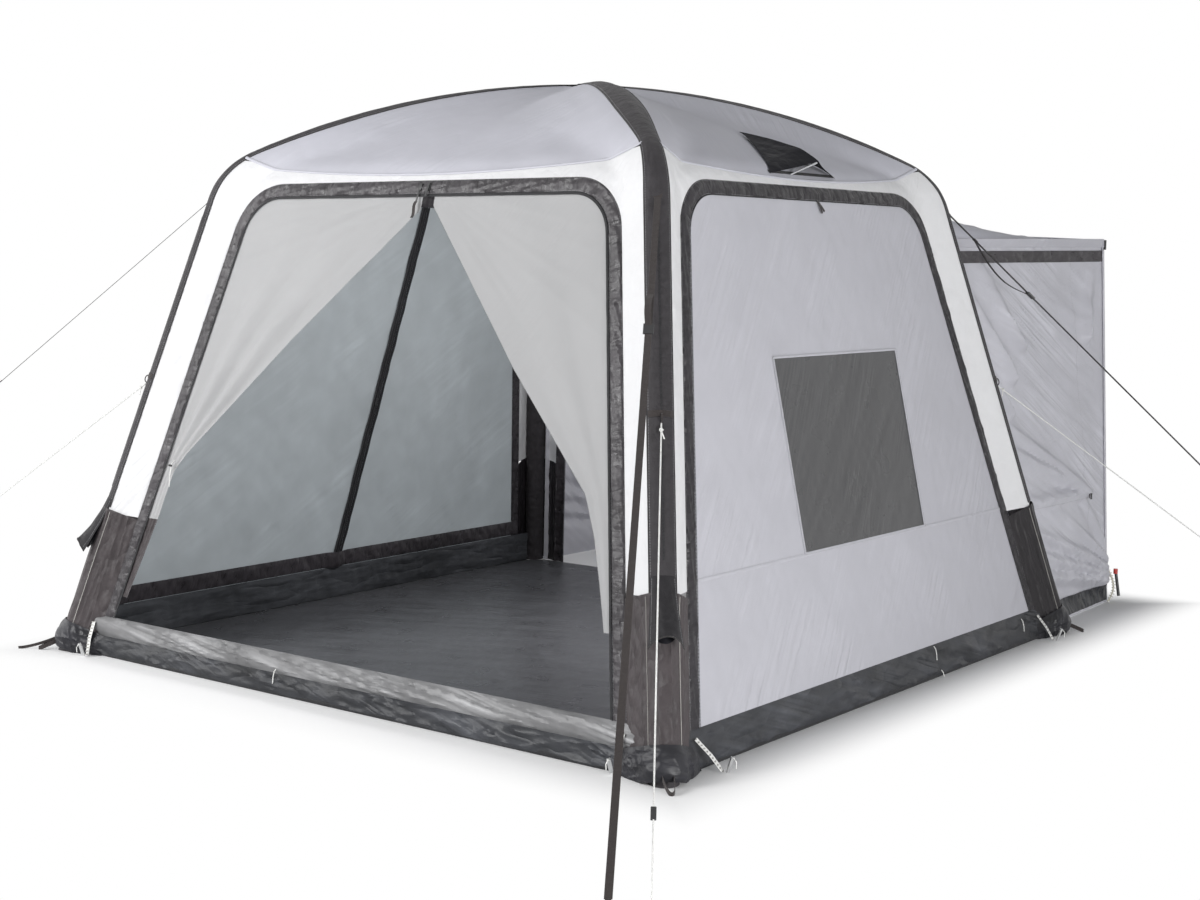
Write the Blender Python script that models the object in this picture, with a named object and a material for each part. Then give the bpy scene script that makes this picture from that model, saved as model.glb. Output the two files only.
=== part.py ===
"""Inflatable camping shelter: a square cabin on two crossed air arches, with a tunnel at the rear.

Run it with: blender --background --python part.py
Metres, +Z up. The origin is on the ground at the middle of the cabin's footprint.
The door faces -Y, the tunnel leaves towards +Y. "Right" is +X.

Each cloth panel starts as a flat pattern in (u, w): u runs across the wall, w runs up the cloth from the
ground. The pattern is cut to its outline, folded where the wall bends over into the roof, and thickened.
"""

import math

import bmesh
import bpy
from mathutils import Matrix, Vector

# Overall size of the cabin, to the middle of its corner poles and its cloth
BASE_HALF_X = 1.50
BASE_HALF_Y = 1.50
SHOULDER_HALF_X = 1.07
SHOULDER_HALF_Y = 1.00
SHOULDER_Z = 1.94
APEX_Z = 2.29
BEND_REACH = 0.11  # how far the rounded shoulder reaches down the leg and up the roof

# Clearances and cloth
GAP = 0.0003
CLOTH = 0.003
POLE_CLEARANCE = 0.0007

# Air arches: a cloth sleeve round an air tube
SLEEVE_RADIUS = 0.050
SLEEVE_WALL = 0.002
TUBE_WALL = 0.0015
SLEEVE_SIDES = 12
TUBE_FOOT_HEIGHT = 0.03
CROSSING_FLAT = 0.06  # half length of the flattened stretch where the arches cross
CROSSING_RAMP = 0.10  # length over which an arch takes its round shape again

# Walls, as distances up the cloth from the ground
SKIRT_HEIGHT = 0.130
SILL_BOTTOM = 0.080
SILL_TOP = 0.160
FLOOR_EDGE_HEIGHT = 0.165
SURROUND_WIDTH = 0.140  # from the pole's middle to the zip band
BAND_DROP = 0.030  # from the shoulder line down to the zip band's outer edge
BAND_WIDTH = 0.058
BAND_RADIUS = 0.240
SEAM_DROP_MIDDLE = 0.004  # where wall and roof are sewn together, half way along a side
SEAM_RISE_CORNER = 0.060
FLOOR_POLE_CLEARANCE = 0.003

# Right wall
PANEL_SEAM = 0.595
WINDOW_WIDTH = 0.920
WINDOW_HEIGHT = 0.715
WINDOW_OFFSET = 0.0

# Left wall
SIDE_ZIP_WIDTH = 0.036
SIDE_ZIP_FOOT = 0.05  # the zip's middle at the skirt
SIDE_ZIP_HEAD = -0.19  # the zip's middle at the band above
SIDE_SLIDER_HEIGHT = 0.95
SIDE_SLIDER_SIZE = (0.016, 0.034, 0.006)

# Door flaps on the front wall: free edges from the top middle down, as (u, w)
RIGHT_FLAP_EDGE = [(0.09, 1.872), (0.611, 1.276), (1.010, 0.870), (1.075, 0.731), (1.125, 0.587), (1.180, 0.416)]
LEFT_FLAP_EDGE = [(0.03, 1.858), (-0.522, 1.351), (-1.010, 0.860), (-1.070, 0.780), (-1.110, 0.600), (-1.215, 0.240)]
FLAP_ROWS = 22
FLAP_COLUMNS = 12
FLAP_FOLD_DEPTH = 0.012
FLAP_CLEARANCE = 0.0008

# Tunnel
TUNNEL_END_Y = 2.35
TUNNEL_TOP_Z = 1.735
TUNNEL_TOP_HALF = 1.31
TUNNEL_FOOT_HALF = 1.40
TUNNEL_POLE_INSET = 0.066
TUNNEL_SHOULDER_DROP = 0.22  # below the cabin's shoulders, where the tunnel's roof begins to turn in
TUNNEL_TOP_DROP = 0.017  # from the shoulder line down to the tunnel's front edge
TUNNEL_FRONT_RADIUS = 0.26
TUNNEL_ROOF_CROWN = 0.03
TUNNEL_BAND_WIDTH = 0.040
TUNNEL_BAND_THICKNESS = 0.006
TUNNEL_HEM_HEIGHT = 0.002
TUNNEL_STEPS = 6

# Roof vent on the right roof panel
VENT_OFFSET = 0.01
VENT_HALF_WIDTH = 0.24
VENT_REACH = 0.34  # from the mouth up the roof to the hood's tip
VENT_MOUTH_W = 2.005
VENT_OPEN_HEIGHT = 0.085
VENT_CLOTH = 0.002
STAY_FOOT_U = -0.095
STAY_RADIUS = 0.004

# Valves at the front legs, each under a cover
VALVE_Z = 0.47
VALVE_NECK_RADIUS = 0.014
VALVE_BORE_RADIUS = 0.008
VALVE_FLANGE_RADIUS = 0.021
VALVE_FLANGE_THICKNESS = 0.004
VALVE_STAND_OUT = 0.014
CAP_RADIUS = 0.017
CAP_HEIGHT = 0.010
CAP_GRIPS = 10
ROUND_SIDES = 24
COVER_TOP_RISE = 0.150  # cover's top edge above the valve
COVER_DROP = 0.085  # cover's mouth below the valve
COVER_HALF_ANGLE = 52
COVER_FLARE = 0.062
COVER_CLOTH = 0.002

# Zip slider and pull at the top of the door
DOOR_ZIP_U = 0.055
DOOR_SLIDER_SIZE = (0.018, 0.030, 0.008)
PULL_SIZE = (0.010, 0.055, 0.003)

# Storm straps and guy cords: where they leave the legs, and where their far ends are
STRAP_WIDTH = 0.022
STRAP_THICKNESS = 0.0016
STRAP_DROP = 0.12  # below the shoulder
STRAP_ENDS = {
    "front_right": (2.025, -2.485, 0.012),
    "front_left": (-1.725, -1.725, 1.050),
    "rear_right": (2.005, 2.005, 0.683),
}
CORD_DIAMETER = 0.005
CORD_Z = 1.085
CORD_ENDS = {
    "front_right": (2.110, -2.415, 0.004),
    "front_left": (-1.735, -1.735, 0.590),
    "rear_right": (2.015, 2.015, 0.374),
}
BUCKLE_AT = {"front_right": 0.235, "rear_right": 0.300}  # shares of the strap's length
BUCKLE_SIZE = (0.034, 0.040, 0.009)
GUY_SLIDER_AT = 0.840
GUY_SLIDER_SIZE = (0.016, 0.040, 0.009)

CORNERS = {"front_right": (1, -1), "front_left": (-1, -1), "rear_right": (1, 1), "rear_left": (-1, 1)}
SIDES = ("front", "right", "rear", "left")

COLOURS = {
    "sleeve_cloth": (0.100, 0.095, 0.100, 0.75, 0.0),
    "roof_cloth": (0.400, 0.400, 0.450, 0.55, 0.0),
    "white_cloth": (0.850, 0.850, 0.860, 0.60, 0.0),
    "panel_cloth": (0.470, 0.470, 0.500, 0.55, 0.0),
    "flap_cloth": (0.560, 0.560, 0.560, 0.60, 0.0),
    "band_cloth": (0.075, 0.070, 0.075, 0.50, 0.0),
    "ground_cloth": (0.070, 0.072, 0.080, 0.40, 0.0),
    "sill_cloth": (0.330, 0.330, 0.330, 0.35, 0.0),
    "window_film": (0.140, 0.140, 0.140, 0.20, 0.0),
    "side_cloth": (0.270, 0.310, 0.330, 0.60, 0.0),
    "air_tube": (0.620, 0.640, 0.660, 0.35, 0.0),
    "zip_tape": (0.020, 0.020, 0.022, 0.60, 0.0),
    "webbing": (0.090, 0.080, 0.075, 0.80, 0.0),
    "guy_cord": (0.800, 0.800, 0.790, 0.70, 0.0),
    "black_plastic": (0.020, 0.020, 0.020, 0.45, 0.0),
    "stay_plastic": (0.450, 0.460, 0.480, 0.45, 0.0),
}


# Scene helpers


def clear_scene():
    for old in list(bpy.data.objects):
        bpy.data.objects.remove(old, do_unlink=True)


def material(name):
    made = bpy.data.materials.get(name)
    if made:
        return made
    red, green, blue, roughness, metallic = COLOURS[name]
    made = bpy.data.materials.new(name)
    made.use_nodes = True
    shader = made.node_tree.nodes["Principled BSDF"]
    shader.inputs["Base Color"].default_value = (red, green, blue, 1)
    shader.inputs["Roughness"].default_value = roughness
    shader.inputs["Metallic"].default_value = metallic
    made.diffuse_color = (red, green, blue, 1)
    return made


def add_object(name, bm, finish, parent, smooth=False):
    """Turn a bmesh, in world coordinates, into a named object whose origin is its parent's."""
    bmesh.ops.recalc_face_normals(bm, faces=bm.faces[:])
    mesh = bpy.data.meshes.new(name)
    bm.to_mesh(mesh)
    bm.free()
    if smooth:
        mesh.shade_smooth()
        mesh.set_sharp_from_angle(angle=math.radians(35))
    made = bpy.data.objects.new(name, mesh)
    bpy.context.scene.collection.objects.link(made)
    made.data.materials.append(material(finish))
    made.parent = parent
    if parent:
        made.data.transform(parent.matrix_world.inverted())
    return made


def add_empty(name, place=(0, 0, 0), axis=(0, 0, 1), parent=None):
    """An empty at a joint, with its own Z along the joint's axis."""
    made = bpy.data.objects.new(name, None)
    made.empty_display_size = 0.1
    bpy.context.scene.collection.objects.link(made)
    made.parent = parent
    turn = Vector((0, 0, 1)).rotation_difference(Vector(axis))
    made.matrix_world = Matrix.Translation(place) @ turn.to_matrix().to_4x4()
    bpy.context.view_layer.update()
    return made


def cut_round_hole(target, centre, axis, radius, length):
    """Cut a round hole through an object with a Boolean."""
    bm = bmesh.new()
    turn = Vector(axis).to_track_quat("Z", "Y").to_matrix().to_4x4()
    bmesh.ops.create_cone(bm, cap_ends=True, segments=ROUND_SIDES, radius1=radius, radius2=radius,
                          depth=length, matrix=Matrix.Translation(centre) @ turn)
    cutter = add_object(target.name + "_hole_cutter", bm, "black_plastic", None)
    cutter.hide_render = True
    cutter.display_type = "WIRE"
    cut = target.modifiers.new("hole", "BOOLEAN")
    cut.operation = "DIFFERENCE"
    cut.solver = "EXACT"
    cut.object = cutter


# Arch line: foot, leg, rounded shoulder and roof, measured outwards from the cabin's middle


def roof_radius():
    reach = math.hypot(SHOULDER_HALF_X, SHOULDER_HALF_Y)
    rise = APEX_Z - SHOULDER_Z
    return (reach**2 + rise**2) / (2 * rise)


def roof_height(reach):
    radius = roof_radius()
    return APEX_Z - radius + math.sqrt(radius**2 - reach**2)


def arch_line():
    """Points (half_x, half_y, z) of a pole's middle, from the foot to the apex, for the +X +Y quarter."""
    shoulder = Vector((SHOULDER_HALF_X, SHOULDER_HALF_Y, SHOULDER_Z))
    foot = Vector((BASE_HALF_X, BASE_HALF_Y, 0))
    leg = (foot - shoulder).normalized()
    reach = math.hypot(SHOULDER_HALF_X, SHOULDER_HALF_Y)

    def on_roof(share):
        return Vector((SHOULDER_HALF_X * share, SHOULDER_HALF_Y * share, roof_height(reach * share)))

    start, end = shoulder + leg * BEND_REACH, on_roof(1 - BEND_REACH / reach)
    points = [foot]
    bend_steps = 5
    for i in range(bend_steps + 1):
        t = i / bend_steps
        points.append(start * (1 - t) ** 2 + shoulder * 2 * t * (1 - t) + end * t**2)
    roof_steps = 9
    first = 1 - BEND_REACH / reach
    for i in range(1, roof_steps + 1):
        points.append(on_roof(first * (1 - i / roof_steps)))
    return points


class Wall:
    """One side of the cabin with its part of the roof: level lines that run from pole to pole."""

    def __init__(self, side):
        self.turn = math.radians(90) * SIDES.index(side)
        across, out = (0, 1) if side in ("front", "rear") else (1, 0)
        line = arch_line()
        self.rows = [Vector((p[out], p[2])) for p in line]
        self.half = [p[across] for p in line]
        self.shoulder = math.hypot(line[0][out] - (SHOULDER_HALF_X, SHOULDER_HALF_Y)[out], SHOULDER_Z)
        self.band_top = self.shoulder - BAND_DROP
        self.seam_middle = self.shoulder - SEAM_DROP_MIDDLE
        self.seam_corner = self.shoulder + SEAM_RISE_CORNER
        self.levels = [0.0]
        for a, b in zip(self.rows, self.rows[1:], strict=False):
            self.levels.append(self.levels[-1] + (b - a).length)
        self.mitres = self._mitres()
        self.edges = self._edges(line, across)

    def _mitres(self):
        """For each level line, the step that moves it outwards by one unit of thickness."""
        normals = []
        for a, b in zip(self.rows, self.rows[1:], strict=False):
            along = (b - a).normalized()
            normals.append(Vector((along[1], -along[0])))
        steps = [normals[0]]
        for a, b in zip(normals, normals[1:], strict=False):
            steps.append((a + b) / (1 + a.dot(b)))
        return steps + [normals[-1]]

    def _edges(self, line, across):
        """How far the cloth reaches across at each level line before it meets a pole."""
        reach = SLEEVE_RADIUS + POLE_CLEARANCE
        edges = []
        for i, point in enumerate(line):
            along = line[min(i + 1, len(line) - 1)] - line[max(i - 1, 0)]
            slant = abs(along.normalized()[across])
            edges.append(point[across] - reach / math.sqrt(1 - slant**2))
        return edges

    def _at(self, level, values):
        """Interpolate a value that is known at each level line."""
        last = len(self.levels) - 2
        i = next((k for k in range(last + 1) if level <= self.levels[k + 1]), last)
        share = (level - self.levels[i]) / (self.levels[i + 1] - self.levels[i])
        return values[i] * (1 - share) + values[i + 1] * share

    def pole(self, level):
        """Half the distance between the poles' middles, on the straight part of the legs."""
        return self.half[0] + (self.half[1] - self.half[0]) * level / self.levels[1]

    def edge(self, level):
        return self._at(level, self.edges)

    def height(self, level):
        return self._at(level, self.rows)[1]

    def level_at(self, z):
        """The level, up the straight part of the wall, that lies at a height."""
        return self.levels[1] * z / self.rows[1][1]

    def place(self, u, level, out=0.0):
        """The world point of a pattern point, moved out of the cloth's middle by a distance."""
        spot = self._at(level, self.rows) + self._at(level, self.mitres) * out
        point = Vector((u, -spot[0], spot[1]))
        return Matrix.Rotation(self.turn, 3, "Z") @ point

    def up(self, level):
        """The direction up the cloth on the facet that holds a level."""
        i = next(k for k in range(len(self.levels) - 1) if level <= self.levels[k + 1])
        along = (self.rows[i + 1] - self.rows[i]).normalized()
        return Matrix.Rotation(self.turn, 3, "Z") @ Vector((0, -along[0], along[1]))

    def across(self):
        return Matrix.Rotation(self.turn, 3, "Z") @ Vector((1, 0, 0))

    def outward(self, level):
        return self.across().cross(self.up(level)).normalized()


# Flat patterns


def round_corners(points, radii, steps=8):
    """Round each corner of an open line by its radius, with 0 for a sharp one."""
    made = []
    for i, point in enumerate(points):
        here = Vector(point)
        if not radii[i]:
            made.append(tuple(here))
            continue
        before = (Vector(points[i - 1]) - here).normalized()
        after = (Vector(points[i + 1]) - here).normalized()
        half_angle = before.angle(after) / 2
        centre = here + (before + after).normalized() * radii[i] / math.sin(half_angle)
        first = here + before * radii[i] / math.tan(half_angle) - centre
        last = here + after * radii[i] / math.tan(half_angle) - centre
        sweep = first.angle_signed(last)
        for k in range(steps + 1):
            turn = Matrix.Rotation(-sweep * k / steps, 2)
            made.append(tuple(centre + turn @ first))
    return made


def frame_line(wall, inset, top, radius, bottom):
    """The line up one side, across and down the other, an even distance in from the poles."""
    foot, head = wall.pole(bottom) - inset, wall.pole(top) - inset
    corners = [(-foot, bottom), (-head, top), (head, top), (foot, bottom)]
    return round_corners(corners, [0, radius, radius, 0])


def seam_line(wall, shift):
    """The curved seam between a wall and its roof panel, from left to right, moved up by a shift."""
    reach = wall.edge(wall.seam_corner)
    steps = 12
    line = []
    for i in range(steps + 1):
        share = 2 * i / steps - 1
        level = wall.seam_middle + (wall.seam_corner - wall.seam_middle) * share**2
        line.append((reach * share, level + shift))
    return line


def cloth(name, wall, outline, finish, parent, out=0.0, thickness=CLOTH):
    """Cut a flat pattern, fold it over the wall's level lines and give it its thickness."""
    bm = bmesh.new()
    bm.faces.new([bm.verts.new((u, w, 0)) for u, w in outline])
    lowest, highest = min(w for _, w in outline), max(w for _, w in outline)
    for level in wall.levels:
        if lowest + 1e-6 < level < highest - 1e-6:
            bmesh.ops.bisect_plane(bm, geom=bm.verts[:] + bm.edges[:] + bm.faces[:], dist=1e-7,
                                   plane_co=(0, level, 0), plane_no=(0, 1, 0))
    raised = bmesh.ops.extrude_face_region(bm, geom=bm.faces[:], use_keep_orig=True)
    for part in raised["geom"]:
        if isinstance(part, bmesh.types.BMVert):
            part.co.z = 1
    for vert in bm.verts:
        side = 0.5 if vert.co.z > 0.5 else -0.5
        vert.co = wall.place(vert.co.x, vert.co.y, out + side * thickness)
    return add_object(name, bm, finish, parent)


def sheet_between(name, rows, finish, parent, thickness=CLOTH):
    """A sheet through a grid of points, given its thickness by a Solidify modifier."""
    bm = bmesh.new()
    grid = [[bm.verts.new(point) for point in row] for row in rows]
    for low, high in zip(grid, grid[1:], strict=False):
        for i in range(len(low) - 1):
            bm.faces.new((low[i], low[i + 1], high[i + 1], high[i]))
    made = add_object(name, bm, finish, parent, smooth=True)
    wall = made.modifiers.new("thickness", "SOLIDIFY")
    wall.thickness = thickness
    wall.offset = 0
    wall.use_even_offset = True
    return made


def box(name, centre, size, axes, finish, parent, bevel=0.0015):
    """A small block with softened edges. Its size is given along the three axes."""
    bm = bmesh.new()
    turn = Matrix([axis.normalized() for axis in axes]).transposed().to_4x4()
    bmesh.ops.create_cube(bm, size=1, matrix=Matrix.Translation(centre) @ turn @ Matrix.Diagonal((*size, 1)))
    bmesh.ops.bevel(bm, geom=bm.edges[:], offset=bevel, segments=1, affect="EDGES")
    return add_object(name, bm, finish, parent)


def turned(name, centre, axis, profile, finish, parent):
    """A round piece: a profile of (radius, distance along the axis), spun about the axis."""
    bm = bmesh.new()
    verts = [bm.verts.new((radius, 0, along)) for radius, along in profile]
    edges = [bm.edges.new((verts[i], verts[(i + 1) % len(verts)])) for i in range(len(verts))]
    bmesh.ops.spin(bm, geom=verts + edges, cent=(0, 0, 0), axis=(0, 0, 1), angle=math.tau,
                   steps=ROUND_SIDES, use_duplicate=False)
    bmesh.ops.remove_doubles(bm, verts=bm.verts[:], dist=1e-6)
    turn = Vector(axis).to_track_quat("Z", "Y").to_matrix().to_4x4()
    bmesh.ops.transform(bm, matrix=Matrix.Translation(centre) @ turn, verts=bm.verts[:])
    return add_object(name, bm, finish, parent, smooth=True)


# Arches


def crossing(reach):
    """How flat an arch is at a distance from the apex: 1 where the arches cross, 0 where it is round."""
    share = (CROSSING_FLAT + CROSSING_RAMP - reach) / CROSSING_RAMP
    share = max(0.0, min(1.0, share))
    return share * share * (3 - 2 * share)


def pole_line(corner):
    """The middle of a pole from a corner's foot to the apex, with extra points where the arches cross."""
    side_x, side_y = CORNERS[corner]
    line = [Vector((side_x * p[0], side_y * p[1], p[2])) for p in arch_line()]
    reach = math.hypot(SHOULDER_HALF_X, SHOULDER_HALF_Y)
    crossing_reach = CROSSING_FLAT + CROSSING_RAMP
    outside = [p for p in line if math.hypot(p.x, p.y) > crossing_reach + 0.02]
    steps = 4
    for i in range(steps):
        distance = crossing_reach - i * CROSSING_RAMP / (steps - 1)
        share = distance / reach
        outside.append(Vector((side_x * SHOULDER_HALF_X * share, side_y * SHOULDER_HALF_Y * share,
                               roof_height(distance))))
    return outside + [Vector((0, 0, APEX_Z))]


def pole_rings(line, across, over, inner):
    """Rings of points round a pole. over is 1 for the arch on top at the crossing, -1 for the one below.

    inner is how far inside the sleeve's outer face the ring lies, and the ring is then drawn in by the
    share that a sided ring loses at the middle of its sides.
    """
    rings = []
    for i, centre in enumerate(line):
        along = (line[min(i + 1, len(line) - 1)] - line[max(i - 1, 0)]).normalized()
        side = (across - along * across.dot(along)).normalized()
        away = along.cross(side)
        if away.z < 0:
            away = -away
        flat = crossing(math.hypot(centre.x, centre.y))
        half_height = SLEEVE_RADIUS * (1 - flat / 2) - GAP * flat
        lift = over * (SLEEVE_RADIUS / 2 + GAP) * flat
        ring = []
        for k in range(SLEEVE_SIDES):
            angle = math.tau * (k + 0.5) / SLEEVE_SIDES
            ring.append(centre + away * (lift + (half_height - inner) * math.sin(angle))
                        + side * (SLEEVE_RADIUS - inner) * math.cos(angle))
        rings.append(ring)
    return rings


def stand_on(ring, along, height):
    """Slide the points of a ring along the pole until they lie at a height."""
    return [point + along * ((height - point.z) / along.z) for point in ring]


def loft(bm, rings, close_ends):
    """Skin a list of rings. Returns the rings' vertices."""
    grid = [[bm.verts.new(point) for point in ring] for ring in rings]
    count = len(rings[0])
    for low, high in zip(grid, grid[1:], strict=False):
        for k in range(count):
            bm.faces.new((low[k], low[(k + 1) % count], high[(k + 1) % count], high[k]))
    if close_ends:
        bm.faces.new(grid[0])
        bm.faces.new(grid[-1])
    return grid


def sleeve(name, outer, inner, parent):
    """An open-ended sleeve: an outer and an inner skin joined by a rim at each end."""
    bm = bmesh.new()
    skins = [loft(bm, outer, False), loft(bm, inner, False)]
    count = len(outer[0])
    for end in (0, -1):
        for k in range(count):
            n = (k + 1) % count
            bm.faces.new((skins[0][end][k], skins[0][end][n], skins[1][end][n], skins[1][end][k]))
    return add_object(name, bm, "sleeve_cloth", parent, smooth=True)


def build_arch(start, end, over, parent):
    """One arch from a front corner to the opposite rear corner: two leg sleeves, a roof sleeve, a tube."""
    first, second = pole_line(start), pole_line(end)
    line = first + second[-2::-1]
    side_x, side_y = CORNERS[start]
    across = Vector((-side_y, side_x, 0)).normalized()
    outer = pole_rings(line, across, over, 0)
    inner = pole_rings(line, across, over, SLEEVE_WALL)
    for corner, rings in ((start, slice(0, 2)), (end, slice(-1, -3, -1))):
        foot, head = line[rings]
        along = (head - foot).normalized()
        skins = []
        for skin in (outer, inner):
            low, high = skin[rings]
            skins.append([stand_on(low, along, 0), [point - along * GAP for point in high]])
        sleeve(f"leg_sleeve_{corner}", skins[0], skins[1], parent)
    sleeve(f"roof_sleeve_{start}_to_{end}", outer[1:-1], inner[1:-1], parent)

    shrink = math.cos(math.pi / SLEEVE_SIDES)
    loose = SLEEVE_WALL + SLEEVE_RADIUS * (1 - shrink) + GAP
    skins = []
    for inside in (loose, loose + TUBE_WALL):
        rings = pole_rings(line, across, over, inside)
        rest = TUBE_FOOT_HEIGHT + (inside - loose)
        for end_index, next_index in ((0, 1), (-1, -2)):
            along = (line[next_index] - line[end_index]).normalized()
            rings[end_index] = stand_on(rings[end_index], along, rest)
        skins.append(rings)
    bm = bmesh.new()
    loft(bm, skins[0], True)
    tube = add_object(f"air_tube_{start}_to_{end}", bm, "air_tube", parent, smooth=True)
    hollow = bmesh.new()
    loft(hollow, skins[1], True)
    space = add_object(tube.name + "_hollow_cutter", hollow, "air_tube", None)
    space.hide_render = True
    space.display_type = "WIRE"
    cut = tube.modifiers.new("hollow", "BOOLEAN")
    cut.operation = "DIFFERENCE"
    cut.solver = "EXACT"
    cut.object = space
    return tube


def sleeve_face():
    """How far the flat faces of the sided sleeve lie from its middle."""
    return SLEEVE_RADIUS * math.cos(math.pi / SLEEVE_SIDES)


def pole_spot(corner, z):
    """A point on a leg's middle at a height, the way out of the shelter there, and the leg's direction."""
    line = pole_line(corner)
    foot, head = line[0], line[1]
    along = (head - foot).normalized()
    centre = foot + (head - foot) * (z / head.z)
    out = Vector((*CORNERS[corner], 0)).normalized()
    out = (out - along * out.dot(along)).normalized()
    return centre, out, along


# Cloth of the cabin


def build_wall(side, parent):
    """The skirt, the surround between the poles, the zip band and the roof panel of one side."""
    wall = Wall(side)
    low = SKIRT_HEIGHT + GAP / 2
    if side != "rear":
        foot, head = wall.edge(0), wall.edge(SKIRT_HEIGHT)
        top = SILL_BOTTOM if side == "front" else SKIRT_HEIGHT
        head = wall.edge(top)
        cloth(f"mud_skirt_{side}", wall, [(-foot, 0), (foot, 0), (head, top - GAP / 2), (-head, top - GAP / 2)],
              "ground_cloth", parent)
    bottom = {"rear": 0.0, "front": SILL_TOP + GAP / 2}.get(side, low)

    inner = frame_line(wall, SURROUND_WIDTH - GAP / 2, wall.band_top + GAP / 2, BAND_RADIUS + GAP / 2, bottom)
    seam = seam_line(wall, -GAP / 2)
    levels = [level for level in wall.levels if bottom < level < wall.seam_corner - GAP]
    left = [(-wall.edge(level), level) for level in [bottom, *levels]]
    right = [(-u, level) for u, level in reversed(left)]
    cloth(f"wall_surround_{side}", wall, left + seam + right + inner[::-1], "white_cloth", parent)

    outer = frame_line(wall, SURROUND_WIDTH + GAP / 2, wall.band_top - GAP / 2, BAND_RADIUS - GAP / 2, bottom)
    inner = frame_line(wall, SURROUND_WIDTH + BAND_WIDTH, wall.band_top - BAND_WIDTH, BAND_RADIUS - BAND_WIDTH, bottom)
    cloth(f"zip_band_{side}", wall, outer + inner[::-1], "band_cloth", parent)

    seam = seam_line(wall, GAP / 2)
    levels = [level for level in wall.levels if level > wall.seam_corner + GAP and wall.edge(level) > 0.03]
    tip = levels[-1] + wall.edge(levels[-1]) * 0.9
    right = [(wall.edge(level), level) for level in levels]
    left = [(-u, level) for u, level in reversed(right)]
    cloth(f"roof_panel_{side}", wall, seam + right + [(0.0, tip)] + left, "roof_cloth", parent)
    return wall


def inner_frame(wall, bottom, clearance=GAP):
    """The edge of a panel that fits inside the zip band."""
    inset = SURROUND_WIDTH + BAND_WIDTH + clearance
    return frame_line(wall, inset, wall.band_top - BAND_WIDTH - clearance, BAND_RADIUS - BAND_WIDTH - clearance, bottom)


def build_right_panel(wall, parent):
    low, seam = SKIRT_HEIGHT + GAP / 2, PANEL_SEAM
    inset = SURROUND_WIDTH + BAND_WIDTH + GAP
    foot, head = wall.pole(low) - inset, wall.pole(seam) - inset
    cloth("side_panel_right_lower", wall,
          [(-foot, low), (foot, low), (head, seam - GAP / 2), (-head, seam - GAP / 2)], "panel_cloth", parent)
    start, end = WINDOW_OFFSET - WINDOW_WIDTH / 2, WINDOW_OFFSET + WINDOW_WIDTH / 2
    bottom, top = seam + GAP / 2, seam + WINDOW_HEIGHT
    notch = [(end + GAP, bottom), (end + GAP, top + GAP), (start - GAP, top + GAP), (start - GAP, bottom)]
    cloth("side_panel_right_upper", wall, inner_frame(wall, bottom) + notch, "panel_cloth", parent)
    cloth("window_film_right", wall, [(start, bottom), (end, bottom), (end, top), (start, top)],
          "window_film", parent)


def build_left_panel(wall, parent):
    """The left wall: two halves that a slanting zip joins, with the zip's slider on the inner face."""
    low = SKIRT_HEIGHT + GAP / 2
    frame = inner_frame(wall, low)
    head = wall.band_top - BAND_WIDTH - GAP
    half = SIDE_ZIP_WIDTH / 2

    def zip_middle(level):
        return SIDE_ZIP_FOOT + (SIDE_ZIP_HEAD - SIDE_ZIP_FOOT) * (level - low) / (head - low)

    def zip_edge(shift):
        return [(zip_middle(low) + shift, low), (zip_middle(head) + shift, head)]

    rear_half = [point for point in frame if point[0] < zip_middle(point[1])] + zip_edge(-half - GAP)[::-1]
    front_half = zip_edge(half + GAP) + [point for point in frame if point[0] > zip_middle(point[1])]
    cloth("side_door_left_rear_half", wall, rear_half, "side_cloth", parent)
    cloth("side_door_left_front_half", wall, front_half, "side_cloth", parent)
    cloth("side_zip_left", wall, zip_edge(-half) + zip_edge(half)[::-1], "zip_tape", parent)
    level = wall.level_at(SIDE_SLIDER_HEIGHT)
    inward = -wall.outward(level)
    depth = SIDE_SLIDER_SIZE[2]
    centre = wall.place(zip_middle(level), level) + inward * (CLOTH / 2 + GAP + depth / 2)
    slant = wall.place(zip_middle(level + 0.1), level + 0.1) - wall.place(zip_middle(level), level)
    along = slant.normalized()
    pivot = add_empty("side_zip_slide", centre, along, parent)
    box("side_zip_slider_left", centre, SIDE_SLIDER_SIZE, (along.cross(inward), along, inward),
        "black_plastic", pivot)


def along_edge(points, level):
    """Where a free edge, given from the top down, crosses a level."""
    for (u0, w0), (u1, w1) in zip(points, points[1:], strict=False):
        if w1 <= level <= w0:
            return u0 + (u1 - u0) * (w0 - level) / (w0 - w1)
    return points[-1][0] if level < points[-1][1] else points[0][0]


def flap_border(wall, level):
    """How far the space inside the zip band reaches to each side at a level, corner rounding included."""
    inset = SURROUND_WIDTH + BAND_WIDTH + FLAP_CLEARANCE
    top = wall.band_top - BAND_WIDTH - FLAP_CLEARANCE
    radius = BAND_RADIUS - BAND_WIDTH - FLAP_CLEARANCE
    reach = wall.pole(level) - inset
    line = frame_line(wall, inset, top, radius, SILL_TOP)
    right = [point for point in line if point[0] > 0]
    for (u0, w0), (u1, w1) in zip(right, right[1:], strict=False):
        if w1 <= level <= w0 and w0 > w1:
            reach = u0 + (u1 - u0) * (w0 - level) / (w0 - w1)
            break
    return reach


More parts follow.
